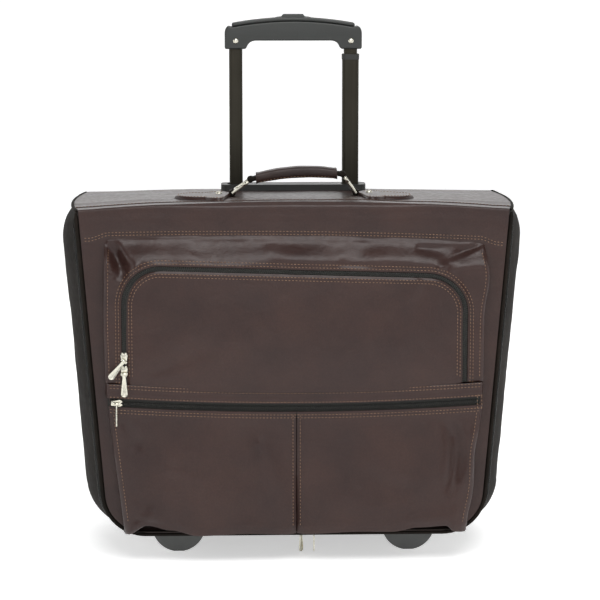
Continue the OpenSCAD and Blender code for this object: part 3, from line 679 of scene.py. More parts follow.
def surround_face(x, z, gap):
    """The same with the turned edge along the zip, gap millimetres away."""
    out = surround_out(x, z)
    near = 1 - ease(gap / 9)
    return out + (max(out + 0.8, pocket_out + 2.6) - out) * near + 0.3


edge_share, face_share = 0.05, 0.80


def lay_surround(u, v):
    """v runs from the zip's edge out to the sides, and then back along them to the front."""
    s = u * u_run
    x0, z0 = u_point(s, lip)
    x1, z1 = corner_of(s)
    if v < edge_share:
        out = surround_out(x0, z0) + 1.0
        return x0, face_y - max(out, pocket_out + 1.2) + 2.2 * (1 - v / edge_share), z0
    w = min(1, (v - edge_share) / face_share)
    x, z = x0 + (x1 - x0) * w, z0 + (z1 - z0) * w
    out = surround_face(x, z, math.hypot(x - x0, z - z0))
    back = max(0.0, (v - edge_share - face_share) / (1 - edge_share - face_share))
    out -= 2.2 * (1 - ease(math.hypot(x1 - x, z1 - z) / 5))
    return x, face_y - out * (1 - back), z


surround = piece("flap_surround_leather", grid(210, 30, lay_surround, out=(0, -1, 0)), brown, wall=1.6,
                 levels=1)
belongs(surround, "front_panel", "leather", "flap_surround")

# ------------------------------------------------------------------ U-shaped zip
# Two woven nylon tapes with a coil sewn to each; the outer tape is sewn to the pocket and the inner
# one to the flap. The coil loops hook into each other along the middle.

tape_out = pocket_out + 1.1


def lay_tape(d0, d1):
    def lay(u, v):
        x, z = u_point(u * u_run, d0 + (d1 - d0) * v)
        return x, face_y - tape_out, z
    return lay


u_pitch = 2.4


def u_coil(side):
    spots = []
    for i in range(int(u_run / u_pitch)):
        s = (i + 0.5 + 0.25 * side) * u_pitch
        inner, outer = u_point(s, -1), u_point(s, 1)
        x, z = u_point(s, side * 1.0)
        spots.append(((x, face_y - tape_out - 0.3, z), (outer[0] - inner[0], 0, outer[1] - inner[1]),
                      (0, -1, 0)))
    return spots


for name, body, side, nodes in (("outer", "front_panel", 1, ["u_zip"]), ("inner", "flap", -1, [])):
    near, far = sorted((0.3 * side, 7 * side))
    half = piece(f"u_zip_tape_{name}", grid(160, 2, lay_tape(near, far), out=(0, -1, 0)), tape, wall=0.8)
    belongs(half, body, "zip_tape", *nodes)
    belongs(beads(f"u_zip_coil_{name}", u_coil(side), (3.6, 1.5, 1.7), nylon), body, "zip_tape")

# ------------------------------------------------------------------ flap
# The leather flap that the U-shaped zip opens. It is one soft piece with a turned edge, slightly
# crowned, and at its foot it runs on into the strip below. Here it is one fixed piece that rides on no body
# and does not bend.


def dip(x):
    """How far the pocket seams hang below their ends."""
    return -8 * (1 - (x / pocket_half) ** 2) - 0.002 * x


def flap_half(z):
    if z < u_top - u_r:
        return u_half - lip
    return u_half - u_r + math.sqrt(max(0.0, (u_r - lip) ** 2 - (z - u_top + u_r) ** 2))


def flap_out(x, z):
    """How far the flap stands out from the front."""
    up = min(1, max(0, (z - u_bottom) / (u_top - u_bottom)))
    full = 8.6 * (1 - (x / u_half) ** 4) * math.sin(math.pi * (0.16 + 0.80 * up**0.8))
    uneven = 1.3 * ripple(x, z, 75, 6.3) + 0.6 * ripple(x, z, 30, 8.8)
    folds = crease(x, z, (150, 352), (120, 300), 9, -1.6) + crease(x, z, (-170, 240), (-120, 262), 9, -1.5)
    return pocket_out + 2.4 + full + uneven + folds


flap_foot = u_bottom - 4


def settled(x, z):
    """Height on the flap once it has sunk a little in its middle and on the right."""
    return lean_over(x, z + (dip(x) + 1) * (1 - ease((z - flap_foot) / 60)))


def lay_flap(u, v):
    foot = flap_foot
    z = foot + (u_top - lip - foot) * (1 - (1 - v) ** 1.25)
    x = (2 * u - 1) * flap_half(max(z, u_bottom))
    edge = min((1 - abs(2 * u - 1)) * flap_half(max(z, u_bottom)), (u_top - lip - z))
    out = flap_out(x, z) - 1.8 * (1 - ease(edge / 3.0)) - 1.2 * (1 - ease((z - foot) / 6))
    return x, face_y - out, settled(x, z)


flap = piece("flap_leather", grid(120, 60, lay_flap, out=(0, -1, 0)), brown, lining, wall=1.8, lined=True)
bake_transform(flap)
belongs(flap, None, "leather", "u_flap")

# ------------------------------------------------------------------ strip and lower zip
# A strip of doubled leather covers the flap's foot and the upper edge of the lower zip. It is edged
# with a rolled seam above and hangs in a shallow curve.

strip_low, strip_high = span("hinge_strip")
slit_low = span("low_zip")[0]
slit_seam = slit_low.z + 1.5
low_zip_z = 201
hem_z = span("lower_pocket_left")[0].z


def lower_side(side, z):
    """Half width of the lower pockets at height z."""
    slope = 22 * (strip_high.z - z) / (strip_high.z - hem_z)
    wave = 2.2 * math.sin((z - 60) / 19) * ease((z - 50) / 30) * ease((170 - z) / 40) if side > 0 else 0.8
    return pocket_half - slope + wave + (2.0 if side > 0 else -0.5)


def strip_out(x, t):
    """How far the strip stands out, t from 0 at its lower edge to 1 at its upper one."""
    rolls = 1.3 * math.exp(-(((t - 0.86) / 0.14) ** 2)) + 0.9 * math.exp(-(((t - 0.10) / 0.14) ** 2))
    return pocket_out + 3.2 + rolls + 0.5 * ripple(x, 40 * t, 40, 2.7)


turn_in = 0.12


def lay_strip(u, v):
    """v runs up the front of the strip; its first and last rows turn in to the front."""
    x = (2 * u - 1) * (pocket_side(2 * u - 1, strip_low.z) + 1.2)
    t = min(max((v - turn_in) / (1 - 2 * turn_in), 0), 1)
    z = strip_low.z + (strip_high.z + 0.3 - strip_low.z) * t + dip(x)
    turned = 1 - ease(min(v, 1 - v) / turn_in)
    ends = 1 - ease((1 - abs(2 * u - 1)) / 0.012)
    out = strip_out(x, t) * (1 - 0.55 * turned)
    return x, face_y - out * (1 - ends) - 1.2 * ends, z


strip = piece("hinge_strip_leather", grid(130, 18, lay_strip, out=(0, -1, 0)), brown, wall=1.6)
belongs(strip, "front_panel", "leather", "hinge_strip")


def lay_slit(u, v):
    x = (2 * u - 1) * (pocket_half - 3)
    return x, face_y - pocket_out + 0.4 - 0.4 * math.cos(2 * math.pi * v), slit_low.z - 3 + 17 * v + dip(x)


slit = piece("lower_zip_tape", grid(120, 6, lay_slit, out=(0, -1, 0)), tape, wall=0.9)
belongs(slit, "front_panel", "zip_tape", "low_zip")
for side, name in sides:
    def lay_end(u, v):
        z = slit_low.z - 8 + 32 * v
        x = side * (min(pocket_side(side, z), lower_side(side, z)) - 1.2 - 1.5 * u * u)
        return x, face_y - (pocket_out + 0.6) * u, z + dip(x)
    belongs(piece(f"lower_zip_end_{name}", grid(8, 12, lay_end, out=(side, 0, 0)), brown, wall=1.2),
            "front_panel", "leather")
slit_spots = []
low_pitch = 1.2
for i in range(int(2 * (pocket_half - 6) / low_pitch)):
    x = 6 - pocket_half + i * low_pitch
    side = 1 if i % 2 else -1
    z = low_zip_z + dip(x) + side * 0.9
    slit_spots.append(((x, face_y - pocket_out - 0.5, z), (0, 0, 1), (0, -1, 0)))
belongs(beads("lower_zip_coil", slit_spots, (3.2, 1.4, 1.6), nylon), "front_panel", "zip_tape")

# ------------------------------------------------------------------ lower pockets
# Two deep pockets side by side behind the lower zip. Their leather is cut full, so it bellies out
# low down and rolls under at the hem, which lifts off the case in shallow waves.

divide_x = 2.0
left_waves = ((-204, -3.5), (-180, 9.0), (-150, 3.0), (-118, -4.0), (-60, -1.5), (0, -4.0))
left_folds = (((-204, 40), (-172, 62), 6, 2.4), ((-190, 56), (-150, 50), 6, -1.6),
              ((-60, 168), (-52, 70), 16, -1.6), ((-206, 176), (-196, 150), 8, -2.6),
              ((-40, 150), (-14, 60), 14, 1.8), ((-150, 120), (-90, 100), 18, 1.4))
right_folds = (((130, 92), (60, 112), 20, -1.6), ((140, 56), (190, 58), 9, 1.6))
right_waves = ((0, -4.0), (78, 0.0), (119, -0.5), (150, 4.5), (184, 6.5), (195, -2.0), (207, -3.0))


def hem(x):
    """Height of the hem at x, eased between the crests and troughs of its waves."""
    waves = left_waves if x < 0 else right_waves
    for (xa, za), (xb, zb) in zip(waves, waves[1:]):
        if x <= xb:
            return hem_z + za + (zb - za) * ease((x - xa) / (xb - xa))
    return hem_z + waves[-1][1]


def lower_out(x, z):
    """How far the lower pockets stand out."""
    side = 1 if x > divide_x else -1
    share = abs(x - divide_x) / lower_side(side, z)
    belly = 9.0 * ease((184 - z) / 122) * (1 - abs(2 * share - 1) ** 5)
    under = -3.0 * ease((hem(x) + 11 - z) / 11)
    uneven = 1.4 * ripple(x, z, 66, 1.3 * side) + 0.6 * ripple(x, z, 30, 4.1)
    out = pocket_out + 1.2 + belly + under + uneven
    out -= 2.4 * math.exp(-((abs(x - divide_x) / 4.5) ** 2))
    if side > 0:
        fade = ease((z - 78) / 40) * ease((184 - z) / 30)
        valley = 188 + 8 * math.sin((z - 90) / 30)
        out -= 6.5 * fade * math.exp(-(((x - valley) / 9) ** 2))
        out += 3.0 * fade * math.exp(-(((x - valley - 17) / 8) ** 2))
        out += 2.0 * fade * math.exp(-(((x - valley + 24) / 16) ** 2))
    return out + sum(crease(x, z, *fold) for fold in (right_folds if side > 0 else left_folds))


def lower_face(x, z):
    """The same with the flat seam under the zip."""
    side = 1 if x > divide_x else -1
    w = abs(x - divide_x) / abs(lower_side(side, z) - side * divide_x)
    flat = ease((slit_seam + dip(x) - z) / 10)
    out = lower_out(x, z) * flat + (pocket_out + 2.4) * (1 - flat)
    return out - 2.0 * (1 - ease((1 - w) * 30)) + 0.4


roll_share = 0.07


def lay_lower(side):
    def lay(u, v):
        """u runs from the seam between the pockets to the side and back along it, v up from the hem."""
        w = min(1, u / (1 - roll_share))
        rolled = max(0.0, 1 - v / roll_share)
        up = max(0.0, (v - roll_share) / (1 - roll_share))
        z = hem_z + (slit_seam - hem_z) * up
        x = divide_x + side * (0.5 + (lower_side(side, z) - side * divide_x - 0.5) * w)
        z = hem(x) + (slit_seam + dip(x) - hem(x)) * up
        out = lower_face(x, z) - 8.5 * math.sin(rolled * math.pi / 2)
        back = max(0.0, (u + roll_share - 1) / roll_share)
        lift = 1.6 * (1 - math.cos(rolled * math.pi / 2))
        return x, face_y - out * (1 - back), z + lift
    return lay


for side, name in sides:
    made = piece(f"lower_pocket_leather_{name}", grid(96, 76, lay_lower(side), out=(0, -1, 0)), brown,
                 wall=1.8)
    belongs(made, "front_panel", "leather", f"lower_pocket_{name}")


# The pockets' bottom is a real piece, but it is cut from the near-black leather so that it also stands in as
# painted shade in the dark gaps under the wavy hem.
def lay_floor(u, v):
    x = (2 * u - 1) * (lower_side(1, hem_z) - 4)
    return x, face_y - 0.5 - (pocket_out - 4) * v, case_bottom + 2.0 + 3.0 * v * v


belongs(piece("lower_pocket_bottom", grid(60, 4, lay_floor, out=(0, 0, -1)), dark, wall=1.2),
        "front_panel", "leather_dark")

# ------------------------------------------------------------------ stitching
# Every seam is sewn with waxed thread of a lighter brown, about six stitches to the inch, and the
# main seams have two rows. Each stitch is a short bead of thread that sinks in at its ends.

thread, *thread_nodes = start("waxed_thread_brown", Roughness=0.55)
clouded(*thread_nodes, 14, "#5e4737", "#947257")
stitch_pitch = 4.2
stitch_size = (2.9, 0.95, 0.85)
stitch_proud = 0.2
double_row = (3.2, 6.8)


def sew(points, out=(0, -1, 0)):
    """Stitches along a line of points that lie on the leather."""
    spots, run = [], stitch_pitch / 2
    for a, b in zip(points, points[1:]):
        a, b = Vector(a), Vector(b)
        length = (b - a).length
        while run < length:
            spots.append((a.lerp(b, run / length), b - a, out))
            run += stitch_pitch
        run -= length
    return spots


def steps(first, last, count):
    return [first + (last - first) * i / count for i in range(count + 1)]


front_rows = []
for above in double_row:
    xs = steps(-half_at(seam_z) + 4, half_at(seam_z) - 4, 120)
    row = []
    for x in xs:
        z = seam_at(x) + above
        row.append((x, face_y - band_out(x, z, crest(x) + 0.8) - stitch_proud, z))
    front_rows += sew(row)
for out in (lip + 3.4, lip + 7.0):
    row = []
    for s in steps(0, u_run, 260):
        x, z = u_point(s, out)
        row.append((x, face_y - surround_face(x, z, out - lip) - stitch_proud, z))
    front_rows += sew(row)
for t in (0.10, 0.72, 0.94):
    xs = steps(-pocket_half + 5, pocket_half - 5, 120)
    tall = strip_high.z + 0.3 - strip_low.z
    row = [(x, face_y - strip_out(x, t) - stitch_proud, strip_low.z + tall * t + dip(x)) for x in xs]
    front_rows += sew(row)


def on_lower(x, z):
    return x, face_y - lower_face(x, z) - stitch_proud, z


for below in (3.6, 7.4):
    xs = steps(-pocket_half + 5, pocket_half - 5, 160)
    front_rows += sew([on_lower(x, slit_seam + dip(x) - below) for x in xs])
for x in (divide_x - 4.4, divide_x + 4.4):
    front_rows += sew([on_lower(x, z) for z in steps(slit_low.z - 10, hem_z + 6, 60)])
for side in (-1, 1):
    zs = steps(slit_low.z - 8, hem_z + 12, 60)
    front_rows += sew([on_lower(side * (lower_side(side, z) - 6), z) for z in zs])
for side in (-1, 1):
    row = []
    for z in steps(u_bottom + 6, seam_at(side * pocket_half) - 12, 60):
        x = side * (pocket_side(side, z) - 5)
        row.append((x, face_y - surround_face(x, z, 20) - 0.1, z))
    front_rows += sew(row)
tack_x = pocket_half - 5.5
tack_z = low_zip_z + dip(tack_x)
for dx in (-2.6, 2.6):
    front_rows += sew([(tack_x + dx, face_y - pocket_out - 4.6, tack_z + dz) for dz in (-9, 9)])
for dz in (-8, 8):
    front_rows += sew([(tack_x + dx, face_y - pocket_out - 4.6, tack_z + dz) for dx in (-4, 4)])
belongs(beads("stitches_front", front_rows, stitch_size, thread), "front_panel", "leather")

flap_rows = []
for inside in double_row:
    row = []
    for s in steps(9, u_run - 9, 240):
        x, z = u_even(s, -lip - inside)
        row.append((x, face_y - flap_out(x, z) - stitch_proud, settled(x, z)))
    flap_rows += sew(row)
belongs(beads("stitches_flap", flap_rows, stitch_size, thread), "flap", "leather")

xs = steps(-half_top - top_spread * 0.5, half_top + top_spread * 0.5, 120)
case_rows = sew([(x, seam_y + 3, top_at(x, seam_y + 3) + 0.3) for x in xs], (0, 0, 1))

# ------------------------------------------------------------------ nickel-plated zip sliders and pulls
# Each slider is a shield-shaped zinc casting with two lugs and a pin. Its pull is a flat paddle,
# narrow at the pin and wide at the end, with a sunk panel on both faces.

nickel, nickel_tree, nickel_shader, nickel_place = start("nickel_plated_zinc", Metallic=1.0)
fingered = clouded(nickel_tree, nickel_shader, nickel_place, 5, "#b9b6a6", "#e2dfd2", detail=4.0)
satin = add(nickel_tree, "MapRange", {"Value": fingered, "To Min": 0.18, "To Max": 0.34})
nickel_tree.links.new(satin.outputs[0], nickel_shader.inputs["Roughness"])


def join(bm, part, turn):
    """Adds a small bmesh to a bigger one, turned into place."""
    bmesh.ops.transform(part, matrix=turn, verts=part.verts)
    mesh = bpy.data.meshes.new("part")
    part.to_mesh(mesh)
    part.free()
    bm.from_mesh(mesh)
    bpy.data.meshes.remove(mesh)


def plate(bm, outline, thick, edge, turn, panel=0.0, segments=2):
    """A plate with an outline in X and Z, thick in Y, with rounded edges and perhaps sunk panels."""
    part = bmesh.new()
    face = part.faces.new([part.verts.new((x / 1000, -thick / 2000, z / 1000)) for x, z in outline])
    raised = bmesh.ops.extrude_face_region(part, geom=[face])["geom"]
    lifted = [v for v in raised if isinstance(v, bmesh.types.BMVert)]
    bmesh.ops.translate(part, verts=lifted, vec=(0, thick / 1000, 0))
    bmesh.ops.holes_fill(part, edges=part.edges, sides=0)
    bmesh.ops.recalc_face_normals(part, faces=part.faces)
    bmesh.ops.bevel(part, geom=part.edges[:], offset=edge / 1000, affect="EDGES", segments=segments,
                    profile=0.5, material=-1, clamp_overlap=True)
    if panel:
        flats = [f for f in part.faces if abs(f.normal.y) > 0.99 and len(f.verts) > 4]
        bmesh.ops.inset_individual(part, faces=flats, thickness=panel / 1000, depth=-0.35 / 1000)
    join(bm, part, turn)


def turned(bm, profile, turn, around=24):
    """A round part from its profile, a list of radius and height, spun about Z."""
    part = bmesh.new()
    corners = [part.verts.new((r / 1000, 0, h / 1000)) for r, h in profile]
    lines = [part.edges.new(pair) for pair in zip(corners, corners[1:])]
    bmesh.ops.spin(part, geom=corners + lines, cent=(0, 0, 0), axis=(0, 0, 1), angle=2 * math.pi,
                   steps=around, use_merge=True)
    bmesh.ops.remove_doubles(part, verts=part.verts, dist=1e-6)
    bmesh.ops.recalc_face_normals(part, faces=part.faces)
    join(bm, part, turn)


def at(x, y, z, *turns):
    """A place in millimetres, with turns such as ('X', 90) in degrees."""
    made = Matrix.Translation(Vector((x, y, z)) / 1000)
    for axis, degrees in turns:
        made = made @ Matrix.Rotation(math.radians(degrees), 4, axis)
    return made


def pin_of(joint):
    return Vector(joints[joint]["pos_m"]) * 1000


slider_t = 3
lug = ((-2.4, -1.7), (0.5, -1.7), (1.3, -0.8), (1.3, 0.8), (0.5, 1.7), (-2.4, 1.7))
pin_rod = ((0, -4.1), (0.75, -4.1), (0.95, -3.8), (0.95, 3.8), (0.75, 4.1), (0, 4.1))
barrel = ((0, -2.6), (1.7, -2.6), (1.95, -2.3), (1.95, 2.3), (1.7, 2.6), (0, 2.6))
about_y = Matrix.Rotation(math.radians(90), 4, "Y")


def slider(name, body, node, joint, down=0, along=0, lean_by=0):
    """A slider; down turns its face to the floor, along turns its shield along X."""
    low, high = span(node)
    pin = pin_of(joint)
    shield = ((-4.4, 3.6), (-3.0, 6.9), (-0.9, 6.9), (0, 4.5), (0.9, 6.9), (3.0, 6.9), (4.4, 3.6),
              (2.9, -6.9), (-2.9, -6.9))
    bm = bmesh.new()
    mid = (low + high) / 2
    if down:
        mid.z = high.z - slider_t / 2
    else:
        mid.y = high.y - slider_t / 2
    plate(bm, shield, slider_t - 0.2, 0.7, at(*mid, ("X", down), ("Y", along)))
    base = at(*pin, ("X", down), ("Y", lean_by))
    for side in (-1, 1):
        plate(bm, lug, 1.3, 0.3, base @ at(3.4 * side, 0, 0, ("Z", -90)))
    turned(bm, pin_rod, base @ about_y, 12)
    belongs(piece(name, bm, nickel, sharp=40), body, "nickel", node)


def pull(name, body, node, joint, length, turn=0, lean_by=0):
    """A pull that hangs from its pin; turn shows its face or its edge to the front."""
    tip = [(4 * math.cos(a), 4 - length - 4 * math.sin(a)) for a in steps(0, math.pi, 8)]
    paddle = [(-2.4, -8), (-1.9, -0.8), (1.9, -0.8), (2.4, -8)] + tip
    bm = bmesh.new()
    base = at(*pin_of(joint), ("Y", lean_by))
    plate(bm, paddle, 1.6, 0.35, base @ at(0, 0, 0, ("Z", turn)), panel=1.1)
    turned(bm, barrel, base @ about_y, 16)
    belongs(piece(name, bm, nickel, sharp=40), body, "nickel", node)


upper_lean = 39
pull_l = 28
under_l = pin_of("zip_main_left_pull_swing").z - span("main_pull_left")[0].z
slider("u_slider_casting_upper", "slider_u_upper", "u_slider_upper", "zip_u_upper_pull_swing",
       lean_by=upper_lean)
pull("u_pull_paddle_upper", "pull_u_upper", "u_pull_upper", "zip_u_upper_pull_swing", pull_l,
     lean_by=upper_lean)
slider("u_slider_casting_lower", "slider_u_lower", "u_slider_lower", "zip_u_lower_pull_swing")
pull("u_pull_paddle_lower", "pull_u_lower", "u_pull_lower", "zip_u_lower_pull_swing", pull_l)
slider("low_slider_casting", "slider_low", "low_slider", "zip_low_pull_swing", along=90)
pull("low_pull_paddle", "pull_low", "low_pull", "zip_low_pull_swing", pull_l, turn=90)
for side, turn in (("left", 50), ("right", 90)):
    joint = f"zip_main_{side}_pull_swing"
    slider(f"main_slider_casting_{side}", f"slider_main_{side}", f"main_slider_{side}", joint, down=90,
           along=90)
    pull(f"main_pull_paddle_{side}", f"pull_main_{side}", f"main_pull_{side}", joint, under_l, turn=turn)

# ------------------------------------------------------------------ handle tabs, rivets and rings
# Two thick leather tabs are folded round the lower bars of the rings and riveted through the top to
# a steel plate. Their edges are burnished dark and sewn all round.

ring_pins = (pin_of("carry_handle_sway"), pin_of("carry_ring_right_swing"))
pivot_left = pin_of("carry_handle_pivot")
handle_y = ring_pins[0].y
ring_r = 2.0
rivet_mid = (span("tab_rivets")[0].x + span("tab_rivets")[1].x) / 2
rivet_r = 4.2
rivet_off = (span("tab_rivets")[1].x - span("tab_rivets")[0].x) / 2 - rivet_r
tab_l, tab_w, tab_neck = 70, 52, 10


def tab_half(u):
    """Half width of a tab at u, from 0 at the ring to 1 at its blunt point."""
    neck = tab_neck / tab_w + (1 - tab_neck / tab_w) * ease(u / 0.16)
    leaf = 0.72 + 0.28 * math.sin(math.pi * min(1, u * 2.2))
    return tab_w * neck * leaf * math.sqrt(max(0.012, 1 - u**3))


def tab_at(side, pin, u, v, lift=0.0):
    """Point on a tab's upper face, v from -1 at its front edge to 1 at the rear one."""
    x = pin.x + side * (1.5 + tab_l * u)
    y = handle_y - 12 * ease(u / 0.2) + v * tab_half(u)
    edge = min(1, (1 - abs(v)) * tab_half(u) / 3.5, (1 - u) * tab_l / 3.5)
    roll = math.sqrt(max(0.0, 1 - (1 - edge) ** 2))
    up = 0.2 + 3.7 * roll + 1.0 * math.exp(-((u / 0.06) ** 2)) + 0.3 * ripple(x, y, 22, 4.0)
    return x, y, top_at(x, y) + up + lift


case_spots = []
for side, name, pin in ((-1, "left", ring_pins[0]), (1, "right", ring_pins[1])):
    def lay_tab(u, v):
        return tab_at(side, pin, u, 2 * v - 1)
    leaf = piece(f"tab_leather_{name}", grid(44, 40, lay_tab, out=(0, 0, 1)), brown, wall=1.0)
    belongs(leaf, "case", "leather_top", f"tab_{name}")
    loop = bmesh.new()
    turned(loop, ((2.4, -9.4), (3.7, -9.4), (4.2, -8.9), (4.2, 8.9), (3.7, 9.4), (2.4, 9.4), (2.4, -9.4)),
           at(*pin, ("X", 90)), 20)
    belongs(piece(f"tab_loop_{name}", loop, dark, sharp=40), "case", "leather_top")
    for v in (-0.86, 0.86):
        case_spots += sew([tab_at(side, pin, u, v, 0.2) for u in steps(0.14, 0.90, 24)], (0, 0, 1))
    case_spots += sew([tab_at(side, pin, 0.93, v, 0.2) for v in steps(-0.8, 0.8, 12)], (0, 0, 1))
    dome = bmesh.new()
    x = rivet_mid + side * rivet_off
    turned(dome, ((0, 2.5), (1.4, 2.4), (2.8, 1.9), (3.8, 1.1), (rivet_r, 0.2), (rivet_r, -0.4), (0, -0.4)),
           at(x, handle_y, top_at(x, handle_y) + 4.1), 24)
    made = piece(f"tab_rivet_{name}", dome, nickel, sharp=40)
    belongs(made, "case", "nickel", *(["tab_rivets"] if side < 0 else []))
belongs(beads("stitches_top", case_rows + case_spots, stitch_size, thread), "case", "leather_top")

ring_l, ring_half, bend = 28, 15, 5


def ring(name, body, node, low_pin, high_pin):
    """A ring of nickel-plated wire, bent to a rectangle with round corners."""
    up = (high_pin - low_pin).normalized()
    path = []
    for cx, cy, first in ((bend, -ring_half + bend, 180), (bend, ring_half - bend, 90),
                          (ring_l - bend, ring_half - bend, 0), (ring_l - bend, -ring_half + bend, -90)):
        for i in range(7):
            a = math.radians(first - 15 * i)
            path.append(low_pin + up * (cx + bend * math.cos(a)) + Vector((0, cy + bend * math.sin(a), 0)))
    turn = path[3:] + path[:3]
    start_at = (turn[0] + turn[-1]) / 2
    belongs(tube(name, [start_at] + turn + [start_at], ring_r, 16, nickel), body, "nickel", node)


right_box = span("ring_right")
right_up = Vector((right_box[0].x + ring_r - ring_pins[1].x, 0, right_box[1].z - ring_r - ring_pins[1].z))
pivot_right = ring_pins[1] + right_up.normalized() * ring_l
ring("ring_wire_left", "ring_left", "ring_left", ring_pins[0], pivot_left)
ring("ring_wire_right", "ring_right", "ring_right", ring_pins[1], pivot_right)

# ------------------------------------------------------------------ carry handle
# A core of folded leather loops round the rings' upper bars. Over it a padded leather sleeve is
# wrapped and sewn along the underside, with its ends cut square.

grip_mid = (pivot_left + pivot_right) / 2
grip_way = (pivot_right - pivot_left).normalized()
grip_up = Vector((-grip_way.z, 0, grip_way.x))
grip_half = (pivot_right - pivot_left).length / 2
grip_sag = 6


def handle_at(run, up, y):
    """Point of the handle: run millimetres from its middle, up from its centre line, y from its mid."""
    arch = grip_sag * (1 - (run / grip_half) ** 2)
    return grip_mid + grip_way * run + grip_up * (arch + up) + Vector((0, y, 0))


def rounded(turn, half_y, half_up, square):
    """Point on a rounded rectangle at an angle."""
    c, s = math.cos(turn), math.sin(turn)
    y = half_y * math.copysign(abs(c) ** square, c)
    return y, half_up * math.copysign(abs(s) ** square, s)


def lay_sleeve(u, v):
    run = (2 * u - 1) * (grip_half - 7)
    ends = 1 - abs(2 * u - 1)
    soft = 1 + 0.05 * ripple(run, 40 * v, 18, 3.3) + 0.10 * math.exp(-((ends / 0.05) ** 2))
    pad = 0.90 + 0.10 * ease(ends / 0.5)
    y, up = rounded(2 * math.pi * v, 10.6 * soft, 7.2 * pad * soft, 0.62)
    return handle_at(run, up, y)


sleeve = piece("handle_sleeve_leather", grid(64, 32, lay_sleeve), leather(
    "cow_leather_handle", "#2a1d1a", "#3a2924", shine=0.40), sharp=50)
belongs(sleeve, "handle", "leather", "handle_sleeve")


def lay_core(u, v):
    run = (2 * u - 1) * (grip_half + 4.1)
    past = abs(run) - grip_half
    loop = math.sqrt(max(0.15, 4.2**2 - past**2)) if past > -4.2 else 0
    y, up = rounded(2 * math.pi * v, 9.6, max(loop, 3.0 if past < 0 else 0), 0.5)
    arch = grip_sag * (1 - min(1, run / grip_half if run > 0 else -run / grip_half) ** 2)
    return grip_mid + grip_way * run + grip_up * (arch + up) + Vector((0, y, 0))


core = piece("handle_core_leather", grid(120, 28, lay_core), dark, sharp=50)
belongs(core, "handle", "leather_dark", "handle_core")
handle_rows = []
for y in (-8.2, 8.2):
    row = [handle_at(run, -4.9, y * 1.18) for run in steps(-grip_half + 11, grip_half - 11, 30)]
    handle_rows += sew(row, (0, math.copysign(0.7, y), -0.7))
belongs(beads("stitches_handle", handle_rows, stitch_size, thread), "handle", "leather")

# ------------------------------------------------------------------ trolley tubes
# Three stages of aluminium tube, drawn and anodised dark bronze. Drawing leaves faint lines along
# the tubes and the sliding stages are rubbed lighter on their edges.


def brushed(name, deep, pale, rough, along=40):
    """Drawn and anodised aluminium: dark, satin, with fine lines along its length."""
    made, tree, bsdf, place = start(name, Metallic=1.0)
    drawn = add(tree, "Mapping", {"Vector": place, "Scale": (1.0, 1.0, 1 / along)})
    lines = add(tree, "TexNoise", {"Vector": drawn.outputs[0], "Scale": per_mm(2.2), "Detail": 3.0})
    handled = add(tree, "TexNoise", {"Vector": place, "Scale": per_mm(60), "Detail": 4.0})
    both = add(tree, "MixRGB", {"Fac": 0.5, "Color1": lines.outputs[0], "Color2": handled.outputs[0]})
    tone = add(tree, "MixRGB", {"Fac": both.outputs[0], "Color1": linear(deep), "Color2": linear(pale)})
    tree.links.new(tone.outputs[0], bsdf.inputs["Base Color"])
    polish = add(tree, "MapRange", {"Value": both.outputs[0], "To Min": rough - 0.08, "To Max": rough + 0.1})
    tree.links.new(polish.outputs[0], bsdf.inputs["Roughness"])
    ridge = add(tree, "Bump", {"Height": lines.outputs[0], "Strength": 0.3, "Distance": 0.0002})
    tree.links.new(ridge.outputs[0], bsdf.inputs["Normal"])
    return made


def dress(finish, *nodes):
    """Gives CAD nodes whose shape is right a better finish."""
    for node in nodes:
        for slot in bpy.data.objects[node].material_slots:
            slot.material = finish


bronze = brushed("anodised_aluminium_bronze", "#26241f", "#413e37", 0.38)
dress(bronze, "outer_tubes", "mid_tube_left", "mid_tube_right", "inner_tubes")


def moulded(name, deep, pale, rough, spark_mm=1.4, bump=0.00008):
    """Injection-moulded plastic with the fine dull texture of a spark-eroded mould."""
    made, tree, bsdf, place = start(name, IOR=1.5)
    spark = add(tree, "TexNoise", {"Vector": place, "Scale": per_mm(spark_mm), "Detail": 2.0})
    flow = clouded(tree, bsdf, place, 30, deep, pale, detail=3.0)
    worn = add(tree, "MapRange", {"Value": flow, "To Min": rough - 0.07, "To Max": rough + 0.09})
    tree.links.new(worn.outputs[0], bsdf.inputs["Roughness"])
    grit = add(tree, "Bump", {"Height": spark.outputs[0], "Strength": 0.4, "Distance": bump})
    tree.links.new(grit.outputs[0], bsdf.inputs["Normal"])
    return made


black_abs = moulded("moulded_abs_black", "#171817", "#242523", 0.42)
dress(black_abs, "trolley_bezel", "tube_base")

collar_low, collar_high = span("mid_tube_right")
collar = bmesh.new()
collar_w, collar_d = collar_high.x - collar_low.x, collar_high.y - collar_low.y
corner = 4
ring_outline = []
for i in range(64):
    turn = math.radians(90 * (i // 16) + (i % 16) * 6)
    rib = 0.55 if i % 2 else 0.25
    cx = math.copysign(collar_w / 2 - corner, math.cos(math.radians(90 * (i // 16) + 45)))
    cy = math.copysign(collar_d / 2 - corner, math.sin(math.radians(90 * (i // 16) + 45)))
    ring_outline.append((cx + (corner + rib) * math.cos(turn), cy + (corner + rib) * math.sin(turn)))
plate(collar, ring_outline, 7, 0.12,
      at((collar_low.x + collar_high.x) / 2, (collar_low.y + collar_high.y) / 2, collar_high.z - 3.6,
         ("X", 90)), segments=1)
belongs(piece("stage_collar", collar, black_abs, sharp=30), "stage_right", "grip")

# ------------------------------------------------------------------ trolley grip
# The grip is moulded in two shells of grey-black ABS, pinned to the inner tubes with a rivet on each
# leg. A button with shoulders stands up through the cap.

